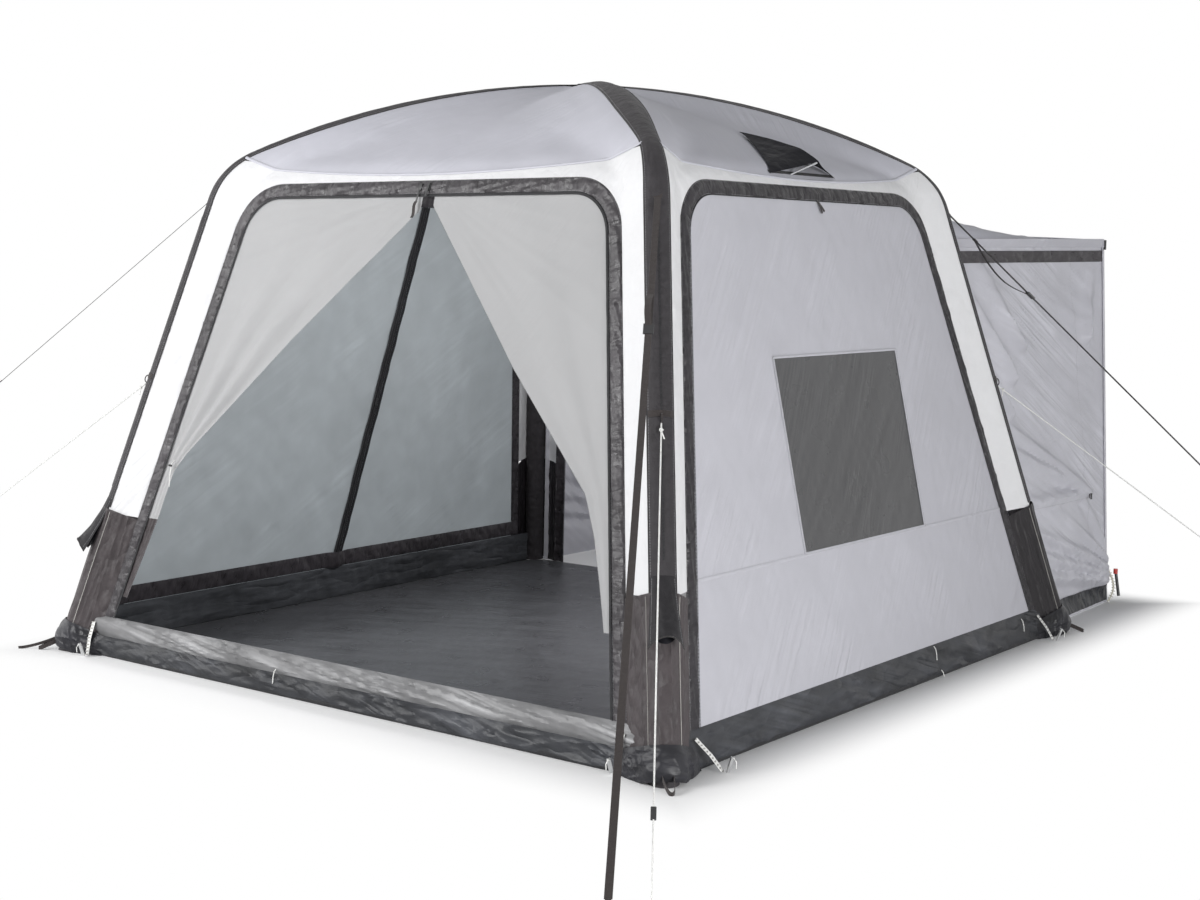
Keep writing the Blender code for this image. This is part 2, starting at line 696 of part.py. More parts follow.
def build_flap(name, wall, edge, hand, bottom, folds, parent):
    """A door flap that is sewn in along the top and its outer side, and hangs from its top corner.

    Its folds run from the outer edge towards the free edge, and are deepest at the free edge.
    """
    top = wall.band_top - BAND_WIDTH - FLAP_CLEARANCE
    rows = []
    for i in range(FLAP_ROWS + 1):
        level = bottom + (top - bottom) * (1 - (1 - i / FLAP_ROWS) ** 1.3)
        border = hand * flap_border(wall, min(level, top - 1e-4))
        free = along_edge(edge, level)
        row = []
        for k in range(FLAP_COLUMNS + 1):
            share = k / FLAP_COLUMNS
            level_fade = math.sin(math.pi * min(1.0, i / FLAP_ROWS)) ** 0.5
            wave = math.cos(math.tau * folds * share) - 1
            depth = FLAP_FOLD_DEPTH * wave * level_fade * min(1.0, 3 * share)
            width_fade = min(1.0, abs(free - border) / 0.30)
            row.append(wall.place(border + (free - border) * share, level, depth * width_fade))
        rows.append(row)
    return sheet_between(name, rows, "flap_cloth", parent, thickness=CLOTH)


def build_front(wall, parent):
    foot, head = wall.edge(SILL_BOTTOM), wall.edge(SILL_TOP)
    cloth("door_sill", wall,
          [(-foot, SILL_BOTTOM + GAP / 2), (foot, SILL_BOTTOM + GAP / 2),
           (head, SILL_TOP - GAP / 2), (-head, SILL_TOP - GAP / 2)], "sill_cloth", parent)
    build_flap("door_flap_right", wall, RIGHT_FLAP_EDGE, 1, 0.430, 2, parent)
    build_flap("door_flap_left", wall, LEFT_FLAP_EDGE, -1, 0.250, 3, parent)
    size = DOOR_SLIDER_SIZE
    level = wall.band_top - BAND_WIDTH / 2
    up, out = wall.up(level), wall.outward(level)
    centre = wall.place(DOOR_ZIP_U, level) + out * (CLOTH / 2 + 2 * GAP + size[2] / 2)
    box("door_zip_slider", centre, size, (wall.across(), up, out), "black_plastic", parent)
    pin = centre + up * (size[1] / 2 - PULL_SIZE[2]) + out * (size[2] / 2 + GAP + PULL_SIZE[2] / 2)
    pivot = add_empty("door_pull_swing", pin, -wall.across(), parent)
    middle = pin - up * (PULL_SIZE[1] / 2 - PULL_SIZE[2] / 2)
    box("door_zip_pull", middle, PULL_SIZE, (wall.across(), up, out), "black_plastic", pivot, bevel=0.001)


def build_floor(walls, parent):
    """The groundsheet, cut back at its corners for the legs, and its raised edges at the two sides."""
    thick = CLOTH / 2 + GAP
    half_x = walls["right"].place(0, CLOTH, -thick).x - GAP
    half_y = -walls["front"].place(0, CLOTH, -thick).y - GAP
    corner_cut = (1.06 * SLEEVE_RADIUS + FLOOR_POLE_CLEARANCE) * math.sqrt(2)
    cut_x = BASE_HALF_X - corner_cut
    cut_y = BASE_HALF_Y - corner_cut
    outline = []
    for side_x, side_y in ((1, -1), (1, 1), (-1, 1), (-1, -1)):
        pair = [(side_x * cut_x, side_y * half_y), (side_x * half_x, side_y * cut_y)]
        outline += pair if side_x * side_y < 0 else pair[::-1]
    bm = bmesh.new()
    face = bm.faces.new([bm.verts.new((x, y, 0)) for x, y in outline])
    raised = bmesh.ops.extrude_face_region(bm, geom=[face], use_keep_orig=True)
    for part in raised["geom"]:
        if isinstance(part, bmesh.types.BMVert):
            part.co.z = CLOTH
    add_object("groundsheet", bm, "ground_cloth", parent)
    behind = -(CLOTH + GAP)
    for side in ("left", "right"):
        wall = walls[side]
        low = wall.level_at(CLOTH + 2 * GAP - wall.place(0, 0, behind - CLOTH / 2).z)
        inset = 0.02
        foot, head = wall.edge(low) - inset, wall.edge(FLOOR_EDGE_HEIGHT) - inset
        cloth(f"floor_edge_{side}", wall,
              [(-foot, low), (foot, low), (head, FLOOR_EDGE_HEIGHT), (-head, FLOOR_EDGE_HEIGHT)],
              "ground_cloth", parent, out=behind)


# Tunnel


def tunnel_front_line(wall):
    """The tunnel's front edge on the rear wall, from the foot up and over to the other foot, as (u, w)."""
    return frame_line(wall, TUNNEL_POLE_INSET, wall.shoulder - TUNNEL_TOP_DROP, TUNNEL_FRONT_RADIUS, TUNNEL_HEM_HEIGHT)


def build_tunnel(wall, parent):
    """A loft from the rear wall to a flat end, as two side walls and a roof, with a band at its end."""
    front_out = CLOTH / 2 + 3 * GAP
    foot_level = TUNNEL_HEM_HEIGHT
    limit = wall.level_at(SHOULDER_Z - TUNNEL_SHOULDER_DROP)
    shoulder_level = limit - 2 * CLOTH
    end_y = TUNNEL_END_Y - TUNNEL_BAND_THICKNESS - 2 * GAP
    lift = CLOTH / 2 + GAP

    for name, hand in (("left", 1), ("right", -1)):
        rows = []
        for i in range(TUNNEL_STEPS + 1):
            up = i / TUNNEL_STEPS
            level = foot_level + (shoulder_level - foot_level) * up
            start = wall.place(hand * (wall.pole(level) - TUNNEL_POLE_INSET), level, front_out)
            half = TUNNEL_FOOT_HALF + (TUNNEL_TOP_HALF - TUNNEL_FOOT_HALF) * up
            height = foot_level + (TUNNEL_TOP_Z - lift - foot_level) * up
            end = Vector((-hand * half, end_y, height))
            rows.append([start.lerp(end, k / TUNNEL_STEPS) for k in range(TUNNEL_STEPS + 1)])
        sheet_between(f"tunnel_wall_{name}", rows, "panel_cloth", parent)

    line = tunnel_front_line(wall)
    arch = [point for point in line if point[1] > limit]
    side = wall.pole(limit) - TUNNEL_POLE_INSET
    middle = len(arch) // 2
    flat_steps = 5
    left_end, right_end = arch[middle - 1], arch[middle]
    between = [(left_end[0] + (right_end[0] - left_end[0]) * k / flat_steps, left_end[1])
               for k in range(1, flat_steps)]
    arch = [(-side, limit), *arch[:middle], *between, *arch[middle:], (side, limit)]
    span = [0.0]
    for a, b in zip(arch, arch[1:], strict=False):
        span.append(span[-1] + math.dist(a, b))
    rows = []
    for (u, level), distance in zip(arch, span, strict=False):
        share = 2 * distance / span[-1] - 1
        start = wall.place(u, level, front_out + 3 * GAP)
        end = Vector((-share * TUNNEL_TOP_HALF, end_y, TUNNEL_TOP_Z + TUNNEL_ROOF_CROWN * (1 - share**2)))
        rows.append([start.lerp(end, k / TUNNEL_STEPS) for k in range(TUNNEL_STEPS + 1)])
    sheet_between("tunnel_roof", rows, "panel_cloth", parent)

    steps = 10
    outer, inner = [], []
    edge = TUNNEL_BAND_WIDTH / 2
    for i in range(steps + 1):
        share = 2 * i / steps - 1
        crown = TUNNEL_ROOF_CROWN * (1 - share**2)
        outer.append((share * (TUNNEL_TOP_HALF + edge), TUNNEL_TOP_Z + crown + edge))
        inner.append((share * (TUNNEL_TOP_HALF - edge), TUNNEL_TOP_Z + crown - edge))
    outer = [(-TUNNEL_FOOT_HALF - edge, foot_level), *outer, (TUNNEL_FOOT_HALF + edge, foot_level)]
    inner = [(-TUNNEL_FOOT_HALF + edge, foot_level), *inner, (TUNNEL_FOOT_HALF - edge, foot_level)]
    bm = bmesh.new()
    face = bm.faces.new([bm.verts.new((x, TUNNEL_END_Y, z)) for x, z in outer + inner[::-1]])
    raised = bmesh.ops.extrude_face_region(bm, geom=[face], use_keep_orig=True)
    for part in raised["geom"]:
        if isinstance(part, bmesh.types.BMVert):
            part.co.y -= TUNNEL_BAND_THICKNESS
    add_object("tunnel_end_band", bm, "band_cloth", parent)


# Small fittings


def build_vent(wall, parent):
    """A cloth hood over the roof vent, open towards the wall, and the stay that props it up."""
    tip_level = VENT_MOUTH_W + VENT_REACH
    clear = CLOTH / 2 + VENT_CLOTH / 2 + 3 * GAP
    folds = [level for level in wall.levels if VENT_MOUTH_W + 0.01 < level < tip_level]
    rows = []
    for level in [VENT_MOUTH_W, *folds, tip_level]:
        share = (level - VENT_MOUTH_W) / VENT_REACH
        half = max(VENT_HALF_WIDTH * (1 - share), 0.006)
        row = []
        for k in range(-4, 5):
            across = k / 4
            rise = (VENT_OPEN_HEIGHT * (1 - share)) * (1 - abs(across))
            row.append(wall.place(VENT_OFFSET + half * across, level, clear + rise))
        rows.append(row)
    sheet_between("vent_hood", rows, "zip_tape", parent, thickness=VENT_CLOTH)

    foot_radius = 0.7 * STAY_RADIUS
    foot_out = CLOTH / 2 + foot_radius + GAP / 2
    foot = wall.place(VENT_OFFSET + STAY_FOOT_U, VENT_MOUTH_W, foot_out)
    head_out = clear + VENT_OPEN_HEIGHT - VENT_CLOTH / 2 - GAP - STAY_RADIUS * 1.6
    head = wall.place(VENT_OFFSET, VENT_MOUTH_W, head_out)
    pivot = add_empty("vent_stay_fold", foot, wall.up(VENT_MOUTH_W), parent)
    bm = bmesh.new()
    along = head - foot
    turn = along.to_track_quat("Z", "Y").to_matrix().to_4x4()
    bmesh.ops.create_cone(bm, cap_ends=True, segments=12, radius1=foot_radius, radius2=STAY_RADIUS,
                          depth=along.length, matrix=Matrix.Translation((foot + head) / 2) @ turn)
    add_object("vent_stay", bm, "stay_plastic", pivot, smooth=True)


def build_valve(corner, sleeve_object, tube, parent):
    """A valve through the sleeve into the air tube, its screw cap, and the cloth cover over them."""
    centre, out, along = pole_spot(corner, VALVE_Z)
    face = SLEEVE_RADIUS + GAP
    cut_round_hole(sleeve_object, centre + out * SLEEVE_RADIUS, out, VALVE_NECK_RADIUS + GAP, SLEEVE_RADIUS)
    cut_round_hole(tube, centre + out * SLEEVE_RADIUS, out, VALVE_NECK_RADIUS + GAP, SLEEVE_RADIUS)
    inner_end = SLEEVE_RADIUS - 0.012
    neck_end = face + VALVE_STAND_OUT
    profile = [(VALVE_BORE_RADIUS, inner_end), (VALVE_NECK_RADIUS, inner_end), (VALVE_NECK_RADIUS, face),
               (VALVE_FLANGE_RADIUS, face), (VALVE_FLANGE_RADIUS, face + VALVE_FLANGE_THICKNESS),
               (VALVE_NECK_RADIUS, face + VALVE_FLANGE_THICKNESS), (VALVE_NECK_RADIUS, neck_end),
               (VALVE_BORE_RADIUS, neck_end)]
    turned(f"valve_{corner}", centre, out, profile, "black_plastic", parent)

    pivot = add_empty(f"valve_cap_turn_{corner}", centre + out * neck_end, out, parent)
    plug = VALVE_BORE_RADIUS - GAP
    seat = neck_end + GAP
    bm = bmesh.new()
    rings = []
    heights = ((plug, seat - 0.006), (plug, seat), (CAP_RADIUS, seat), (CAP_RADIUS, seat + CAP_HEIGHT))
    turn = out.to_track_quat("Z", "Y").to_matrix()
    for radius, height in heights:
        ring = []
        for k in range(2 * CAP_GRIPS):
            grip = 1 if k % 2 or radius == plug else 0.93
            angle = math.tau * k / (2 * CAP_GRIPS)
            flat = Vector((radius * grip * math.cos(angle), radius * grip * math.sin(angle), height))
            ring.append(centre + turn @ flat)
        rings.append(ring)
    loft(bm, rings, True)
    add_object(f"valve_cap_{corner}", bm, "black_plastic", pivot)

    side = out.cross(along).normalized()
    top = centre + along * COVER_TOP_RISE
    hinge = add_empty(f"valve_cover_lift_{corner}", top + out * (SLEEVE_RADIUS + GAP), side, parent)
    length = COVER_TOP_RISE + COVER_DROP
    steps, ribs = 8, 10
    rows = []
    for i in range(steps + 1):
        share = i / steps
        radius = SLEEVE_RADIUS + COVER_CLOTH / 2 + 4 * GAP + COVER_FLARE * share**1.15
        row = []
        for k in range(ribs + 1):
            angle = math.radians(COVER_HALF_ANGLE) * (2 * k / ribs - 1)
            row.append(top - along * (length * share) + out * radius * math.cos(angle)
                       + side * (SLEEVE_RADIUS + 0.35 * (radius - SLEEVE_RADIUS)) * math.sin(angle))
        rows.append(row)
    sheet_between(f"valve_cover_{corner}", rows, "sleeve_cloth", hinge, thickness=COVER_CLOTH)


def strap_span(corner):
    """Where a storm strap leaves its leg, where it ends, and its width's direction."""
    centre, out, _ = pole_spot(corner, SHOULDER_Z - STRAP_DROP)
    end = Vector(STRAP_ENDS[corner])
    along = (end - centre).normalized()
    wide = along.cross(Vector((0, 0, 1))).normalized()
    reach = abs(wide.dot(out)) * STRAP_WIDTH / 2 + STRAP_THICKNESS / 2
    start = centre + out * (sleeve_face() + GAP + reach)
    along = (end - start).normalized()
    wide = along.cross(Vector((0, 0, 1))).normalized()
    return start, end, along, wide


def build_strap(corner, parent):
    start, end, along, wide = strap_span(corner)
    face = wide.cross(along).normalized()
    length = (end - start).length
    strap = box(f"storm_strap_{corner}", (start + end) / 2, (STRAP_WIDTH, length, STRAP_THICKNESS),
                (wide, along, face), "webbing", parent, bevel=STRAP_THICKNESS / 4)
    if corner in BUCKLE_AT:
        at = start + along * length * BUCKLE_AT[corner]
        pivot = add_empty(f"strap_buckle_slide_{corner}", at, along, parent)
        buckle = box(f"strap_buckle_{corner}", at, BUCKLE_SIZE, (wide, along, face), "black_plastic", pivot)
        slot = bmesh.new()
        turn = Matrix([wide, along, face]).transposed().to_4x4()
        size = (STRAP_WIDTH + 2 * GAP, BUCKLE_SIZE[1] * 2, STRAP_THICKNESS + 2 * GAP)
        bmesh.ops.create_cube(slot, size=1,
                              matrix=Matrix.Translation(at) @ turn @ Matrix.Diagonal((*size, 1)))
        cutter = add_object(buckle.name + "_slot_cutter", slot, "black_plastic", None)
        cutter.hide_render = True
        cutter.display_type = "WIRE"
        cut = buckle.modifiers.new("slot", "BOOLEAN")
        cut.operation = "DIFFERENCE"
        cut.solver = "EXACT"
        cut.object = cutter
    return strap


def cord_points(corner):
    """The two ends of a taut guy cord: at its leg, and at its far end."""
    centre, out, _ = pole_spot(corner, CORD_Z)
    start = centre + out * (sleeve_face() + GAP + CORD_DIAMETER / 2)
    return [start, Vector(CORD_ENDS[corner])]


def build_cord(corner, parent):
    points = cord_points(corner)
    curve = bpy.data.curves.new(f"guy_cord_{corner}", "CURVE")
    curve.dimensions = "3D"
    curve.bevel_depth = CORD_DIAMETER / 2
    curve.bevel_resolution = 2
    curve.use_fill_caps = True
    spline = curve.splines.new("POLY")
    spline.points.add(len(points) - 1)
    for slot, point in zip(spline.points, points, strict=True):
        slot.co = (*point, 1)
    made = bpy.data.objects.new(f"guy_cord_{corner}", curve)
    bpy.context.scene.collection.objects.link(made)
    curve.materials.append(material("guy_cord"))
    made.parent = parent
    return points


def build_guy_slider(corner, points, parent):
    """The line runner near the cord's far end: a flat block with a hole that the cord passes through."""
    at = points[0].lerp(points[-1], GUY_SLIDER_AT)
    along = (points[-1] - points[0]).normalized()
    wide = along.cross(Vector((0, 0, 1))).normalized()
    face = wide.cross(along).normalized()
    pivot = add_empty(f"guy_slider_slide_{corner}", at, along, parent)
    block = box(f"guy_slider_{corner}", at, GUY_SLIDER_SIZE, (wide, along, face), "black_plastic", pivot)
    cut_round_hole(block, at, along, CORD_DIAMETER / 2 + 2 * GAP, 2 * GUY_SLIDER_SIZE[1])


def build():
    clear_scene()
    shelter = add_empty("shelter")
    walls = {side: build_wall(side, shelter) for side in SIDES}
    build_floor(walls, shelter)
    build_front(walls["front"], shelter)
    build_right_panel(walls["right"], shelter)
    build_left_panel(walls["left"], shelter)
    build_tunnel(walls["rear"], shelter)
    build_vent(walls["right"], shelter)
    tubes = {
        "front_right": build_arch("front_right", "rear_left", 1, shelter),
        "front_left": build_arch("front_left", "rear_right", -1, shelter),
    }
    for corner, tube in tubes.items():
        build_valve(corner, bpy.data.objects[f"leg_sleeve_{corner}"], tube, shelter)
    for corner in STRAP_ENDS:
        build_strap(corner, shelter)
    for corner in CORD_ENDS:
        points = build_cord(corner, shelter)
        if corner == "front_right":
            build_guy_slider(corner, points, shelter)


build()
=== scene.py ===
"""Looks of the inflatable camping shelter: cloth, seams, zips, arches, guys and fittings on its frame.

Metres, +Z up, door towards -Y, tunnel towards +Y. Every wall and roof piece starts as a flat pattern in
(u, w): u across the wall, w up the cloth from the ground.
"""

import math
from bisect import bisect_left

import bmesh
import bpy
import numpy as np
from mathutils import Matrix, Vector, noise
from mathutils.geometry import delaunay_2d_cdt


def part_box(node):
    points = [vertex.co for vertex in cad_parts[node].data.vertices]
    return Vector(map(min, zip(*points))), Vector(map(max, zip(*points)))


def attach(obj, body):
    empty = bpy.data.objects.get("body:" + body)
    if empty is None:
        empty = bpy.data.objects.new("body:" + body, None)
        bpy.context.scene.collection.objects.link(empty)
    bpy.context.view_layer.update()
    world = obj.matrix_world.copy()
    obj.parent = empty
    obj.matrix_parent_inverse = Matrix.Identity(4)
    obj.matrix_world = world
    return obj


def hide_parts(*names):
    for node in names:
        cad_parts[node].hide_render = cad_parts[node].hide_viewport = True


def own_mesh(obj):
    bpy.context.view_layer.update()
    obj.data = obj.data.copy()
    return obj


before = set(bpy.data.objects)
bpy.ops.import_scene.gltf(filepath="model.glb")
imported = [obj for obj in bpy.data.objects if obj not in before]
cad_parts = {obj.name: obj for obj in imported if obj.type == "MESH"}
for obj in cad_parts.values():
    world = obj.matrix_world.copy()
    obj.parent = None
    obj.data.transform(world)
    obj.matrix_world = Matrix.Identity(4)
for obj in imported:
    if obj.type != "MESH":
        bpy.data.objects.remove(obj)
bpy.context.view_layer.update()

# Sizes that repeat the CAD's
BASE_HALF_X, BASE_HALF_Y = 1.50, 1.50
SHOULDER_HALF_X, SHOULDER_HALF_Y, SHOULDER_Z = 1.07, 1.00, 1.94
APEX_Z = 2.29
BEND_REACH = 0.11
CLOTH = 0.003
SLEEVE_RADIUS = 0.050
CROSSING_FLAT, CROSSING_RAMP = 0.06, 0.10
SKIRT_HEIGHT, SILL_BOTTOM, SILL_TOP = 0.130, 0.080, 0.160
SURROUND_WIDTH, BAND_WIDTH, BAND_RADIUS, BAND_DROP = 0.140, 0.058, 0.240, 0.030
SEAM_DROP_MIDDLE, SEAM_RISE_CORNER = 0.004, 0.060
PANEL_SEAM, WINDOW_WIDTH, WINDOW_HEIGHT, WINDOW_OFFSET = 0.595, 0.920, 0.715, 0.0
SIDE_ZIP_FOOT, SIDE_ZIP_HEAD, SIDE_ZIP_WIDTH = 0.05, -0.19, 0.036
RIGHT_FLAP_EDGE = [(0.09, 1.872), (0.611, 1.276), (1.010, 0.870), (1.075, 0.731), (1.125, 0.587),
        (1.180, 0.416)]
LEFT_FLAP_EDGE = [(0.03, 1.858), (-0.522, 1.351), (-1.010, 0.860), (-1.070, 0.780), (-1.110, 0.600),
        (-1.215, 0.240)]
FLAP_FOLD_DEPTH = 0.012
TUNNEL_END_Y, TUNNEL_TOP_Z = 2.35, 1.735
TUNNEL_TOP_HALF, TUNNEL_FOOT_HALF = 1.31, 1.40
TUNNEL_POLE_INSET, TUNNEL_SHOULDER_DROP, TUNNEL_TOP_DROP = 0.066, 0.22, 0.017
TUNNEL_FRONT_RADIUS, TUNNEL_ROOF_CROWN, TUNNEL_BAND_WIDTH = 0.26, 0.03, 0.040
VENT_OFFSET, VENT_HALF_WIDTH, VENT_REACH, VENT_MOUTH_W, VENT_OPEN_HEIGHT = 0.01, 0.24, 0.34, 2.005, 0.085
VALVE_Z = 0.47
STRAP_DROP, CORD_Z = 0.12, 1.085
STRAP_WIDTH, STRAP_THICKNESS, CORD_DIAMETER = 0.022, 0.0016, 0.005
STRAP_ENDS = {
    "front_right": (2.025, -2.485, 0.012),
    "front_left": (-1.725, -1.725, 1.050),
    "rear_right": (2.005, 2.005, 0.683),
}
CORD_ENDS = {
    "front_right": (2.110, -2.415, 0.004),
    "front_left": (-1.735, -1.735, 0.590),
    "rear_right": (2.015, 2.015, 0.374),
}
CORNERS = {"front_right": (1, -1), "front_left": (-1, -1), "rear_right": (1, 1), "rear_left": (-1, 1)}
SIDES = ("front", "right", "rear", "left")
UP = Vector((0, 0, 1))

# The camera that was solved from the photograph: its focal length in the photograph's pixels, its place, and
# its turn, downward tilt and roll in degrees
PHOTO_WIDTH, FOCAL_PIXELS, SENSOR_WIDTH = 1200.0, 1784.8, 36.0
CAMERA_PLACE, CAMERA_TURN, CAMERA_TILT, CAMERA_ROLL = (4.620, -5.940, 1.619), 37.337, 6.058, 0.659

# Steps along a pole's bend and along its roof part, and along a straight leg
BEND_STEPS, ROOF_STEPS, LEG_STEPS = 15, 36, 60

# How thick cloth is that is made as a strip or over a grid of points
STRIP_THICKNESS, GRID_THICKNESS = 0.0014, 0.0012

# Gaps that keep one cloth off another, and the lowest point of a cloth that touches the ground
POLE_CLEARANCE, FLAP_CLEARANCE, GROUND_CLEARANCE = 0.0007, 0.0008, 0.0006

# Spacing, length, width and height of what repeats along a path
STITCH = (0.0085, 0.0052, 0.0010, 0.0008)
SMALL_STITCH = (0.008, 0.005, 0.001, 0.0009)
FLAP_STITCH = (0.009, 0.0055, 0.0010, 0.0008)
STRIP_STITCH = (0.009, 0.0055, 0.0011, 0.0009)
TUNNEL_STITCH = (0.009, 0.0055, 0.0012, 0.0009)
COIL_TOOTH = (0.0045, 0.0026, 0.0062, 0.0020)
LEG_ZIP_TOOTH = (0.0045, 0.0027, 0.0064, 0.0022)
LADDER_MARK = (0.013, 0.0036, 0.0180, 0.0012)
TUNNEL_LADDER_MARK = (0.014, 0.004, 0.004, 0.019)

# The outer cloth is drawn taut over each arch: its radius there, how far from the arch it lies off the
# wall's plane, and how far from the arch's middle the dark strip over it ends
SKIN_RADIUS = SLEEVE_RADIUS + 0.0015
LEG_REACH, ROOF_REACH, ROOF_SOFTNESS = SURROUND_WIDTH, 0.27, 0.07
LEG_STRIP_EDGE, ROOF_STRIP_EDGE = 0.012, 0.046


def new_object(name, data):
    made = bpy.data.objects.new(name, data)
    bpy.context.scene.collection.objects.link(made)
    return made


# Camera, at the photograph's viewing angle


def place_camera():
    lens = bpy.data.cameras.new("camera")
    lens.sensor_width = SENSOR_WIDTH
    lens.lens = SENSOR_WIDTH * FOCAL_PIXELS / PHOTO_WIDTH
    lens.clip_end = 60
    camera = new_object("camera", lens)
    camera.location = CAMERA_PLACE
    turn = (Matrix.Rotation(math.radians(CAMERA_TURN), 4, "Z")
            @ Matrix.Rotation(math.radians(90 - CAMERA_TILT), 4, "X")
            @ Matrix.Rotation(math.radians(CAMERA_ROLL), 4, "Z"))
    camera.matrix_world = Matrix.Translation(camera.location) @ turn
    bpy.context.scene.camera = camera


# Arch line and walls, finer than the CAD's


def roof_radius():
    reach = math.hypot(SHOULDER_HALF_X, SHOULDER_HALF_Y)
    rise = APEX_Z - SHOULDER_Z
    return (reach**2 + rise**2) / (2 * rise)


def roof_height(reach):
    radius = roof_radius()
    return APEX_Z - radius + math.sqrt(radius**2 - reach**2)


def arch_line():
    """Points (half_x, half_y, z) of a pole's middle, from the foot to the apex."""
    shoulder = Vector((SHOULDER_HALF_X, SHOULDER_HALF_Y, SHOULDER_Z))
    foot = Vector((BASE_HALF_X, BASE_HALF_Y, 0))
    leg = (foot - shoulder).normalized()
    reach = math.hypot(SHOULDER_HALF_X, SHOULDER_HALF_Y)

    def on_roof(share):
        return Vector((SHOULDER_HALF_X * share, SHOULDER_HALF_Y * share, roof_height(reach * share)))

    first = 1 - BEND_REACH / reach
    start, end = shoulder + leg * BEND_REACH, on_roof(first)
    points = [foot]
    for i in range(BEND_STEPS + 1):
        t = i / BEND_STEPS
        points.append(start * (1 - t) ** 2 + shoulder * 2 * t * (1 - t) + end * t**2)
    for i in range(1, ROOF_STEPS + 1):
        points.append(on_roof(first * (1 - i / ROOF_STEPS)))
    return points


class Wall:
    """One side of the cabin with its part of the roof, as level lines from pole to pole."""

    def __init__(self, side):
        self.side = side
        self.turn = Matrix.Rotation(math.radians(90) * SIDES.index(side), 3, "Z")
        across, out = (0, 1) if side in ("front", "rear") else (1, 0)
        line = arch_line()
        self.rows = [Vector((p[out], p[2])) for p in line]
        self.half = [p[across] for p in line]
        self.shoulder = math.hypot(line[0][out] - (SHOULDER_HALF_X, SHOULDER_HALF_Y)[out], SHOULDER_Z)
        self.band_top = self.shoulder - BAND_DROP
        self.seam_middle = self.shoulder - SEAM_DROP_MIDDLE
        self.seam_corner = self.shoulder + SEAM_RISE_CORNER
        self.levels = [0.0]
        for a, b in zip(self.rows, self.rows[1:], strict=False):
            self.levels.append(self.levels[-1] + (b - a).length)
        normals = []
        for a, b in zip(self.rows, self.rows[1:], strict=False):
            along = (b - a).normalized()
            normals.append(Vector((along[1], -along[0])))
        self.away = [normals[0]]
        self.away += [(a + b).normalized() for a, b in zip(normals, normals[1:], strict=False)]
        self.away.append(normals[-1])
        self.edges, self.leans = [], []
        for i, point in enumerate(line):
            along = line[min(i + 1, len(line) - 1)] - line[max(i - 1, 0)]
            slant = abs(along.normalized()[across])
            self.leans.append(math.sqrt(1 - slant**2))
            self.edges.append(point[across] - (SLEEVE_RADIUS + POLE_CLEARANCE) / self.leans[-1])

    def _at(self, level, values):
        last = len(self.levels) - 2
        i = min(max(bisect_left(self.levels, level) - 1, 0), last)
        share = (level - self.levels[i]) / (self.levels[i + 1] - self.levels[i])
        return values[i] * (1 - share) + values[i + 1] * share

    def pole(self, level):
        return self.half[0] + (self.half[1] - self.half[0]) * level / self.levels[1]

    def edge(self, level):
        return self._at(level, self.edges)

    def level_at(self, z):
        return self.levels[1] * z / self.rows[1][1]

    def outward(self, level):
        away = self._at(level, self.away).normalized()
        return self.turn @ Vector((0, -away[0], away[1]))

    def across(self):
        return self.turn @ Vector((1, 0, 0))

    def up(self, level):
        return self.outward(level).cross(self.across()).normalized()

    def place(self, u, level, out=0.0):
        """The world point of a pattern point, moved out of the cloth's middle by a distance."""
        spot = self._at(level, self.rows)
        return self.turn @ Vector((u, -spot[0], spot[1])) + self.outward(level) * out

    def skin_height(self, distance, level):
        """How far the taut outer cloth stands off the wall's plane, at a distance from the arch's middle."""
        up_roof = ease((level - self.seam_middle) / 0.35)
        reach = LEG_REACH + (ROOF_REACH - LEG_REACH) * up_roof
        turn = math.asin(SKIN_RADIUS / reach)
        if distance < SKIN_RADIUS * math.sin(turn):
            return math.sqrt(max(SKIN_RADIUS**2 - distance**2, 0.0))
        left = reach - distance
        return math.tan(turn) * (left + math.hypot(left, ROOF_SOFTNESS * up_roof)) / 2

    def skin(self, u, level, out=0.0):
        distance = (self._at(level, self.half) - abs(u)) * self._at(level, self.leans)
        return self.place(u, level, out + self.skin_height(max(distance, 0.0), level))

    def strip_edge(self, level):
        return LEG_STRIP_EDGE + (ROOF_STRIP_EDGE - LEG_STRIP_EDGE) * ease((level - self.seam_middle + 0.05)
                / 0.5)

    def skin_end(self, level):
        """Where the wall's outer cloth ends beside the arch, a little under the dark strip."""
        return self._at(level, self.half) - (self.strip_edge(level) - 0.005) / self._at(level, self.leans)


def ease(value):
    value = max(0.0, min(1.0, value))
    return value * value * (3 - 2 * value)


WALLS = {side: Wall(side) for side in SIDES}


def pole_spot(corner, z):
    """A point on a leg's middle at a height, the way out of the shelter there, and the leg's direction."""
    side_x, side_y = CORNERS[corner]
    foot = Vector((side_x * BASE_HALF_X, side_y * BASE_HALF_Y, 0))
    head = Vector((side_x * SHOULDER_HALF_X, side_y * SHOULDER_HALF_Y, SHOULDER_Z))
    along = (head - foot).normalized()
    centre = foot + (head - foot) * (z / head.z)
    out = Vector((side_x, side_y, 0)).normalized()
    out = (out - along * out.dot(along)).normalized()
    return centre, out, along


# Materials. All patterns read Object coordinates or the cloth's own (u, w) map, both in metres.


def link(tree, source, target):
    tree.links.new(source, target)


def node(tree, kind, values=None, **settings):
    """A node with its settings and its inputs' values. A value that is another node's socket is linked."""
    made = tree.nodes.new(kind)
    for key, value in settings.items():
        setattr(made, key, value)
    for key, value in (values or {}).items():
        if isinstance(value, bpy.types.NodeSocket):
            link(tree, value, made.inputs[key])
        else:
            made.inputs[key].default_value = value
    return made


def math_on(tree, operation, *values):
    """The result of one operation on numbers and other nodes' sockets."""
    return node(tree, "ShaderNodeMath", dict(enumerate(values)), operation=operation).outputs[0]


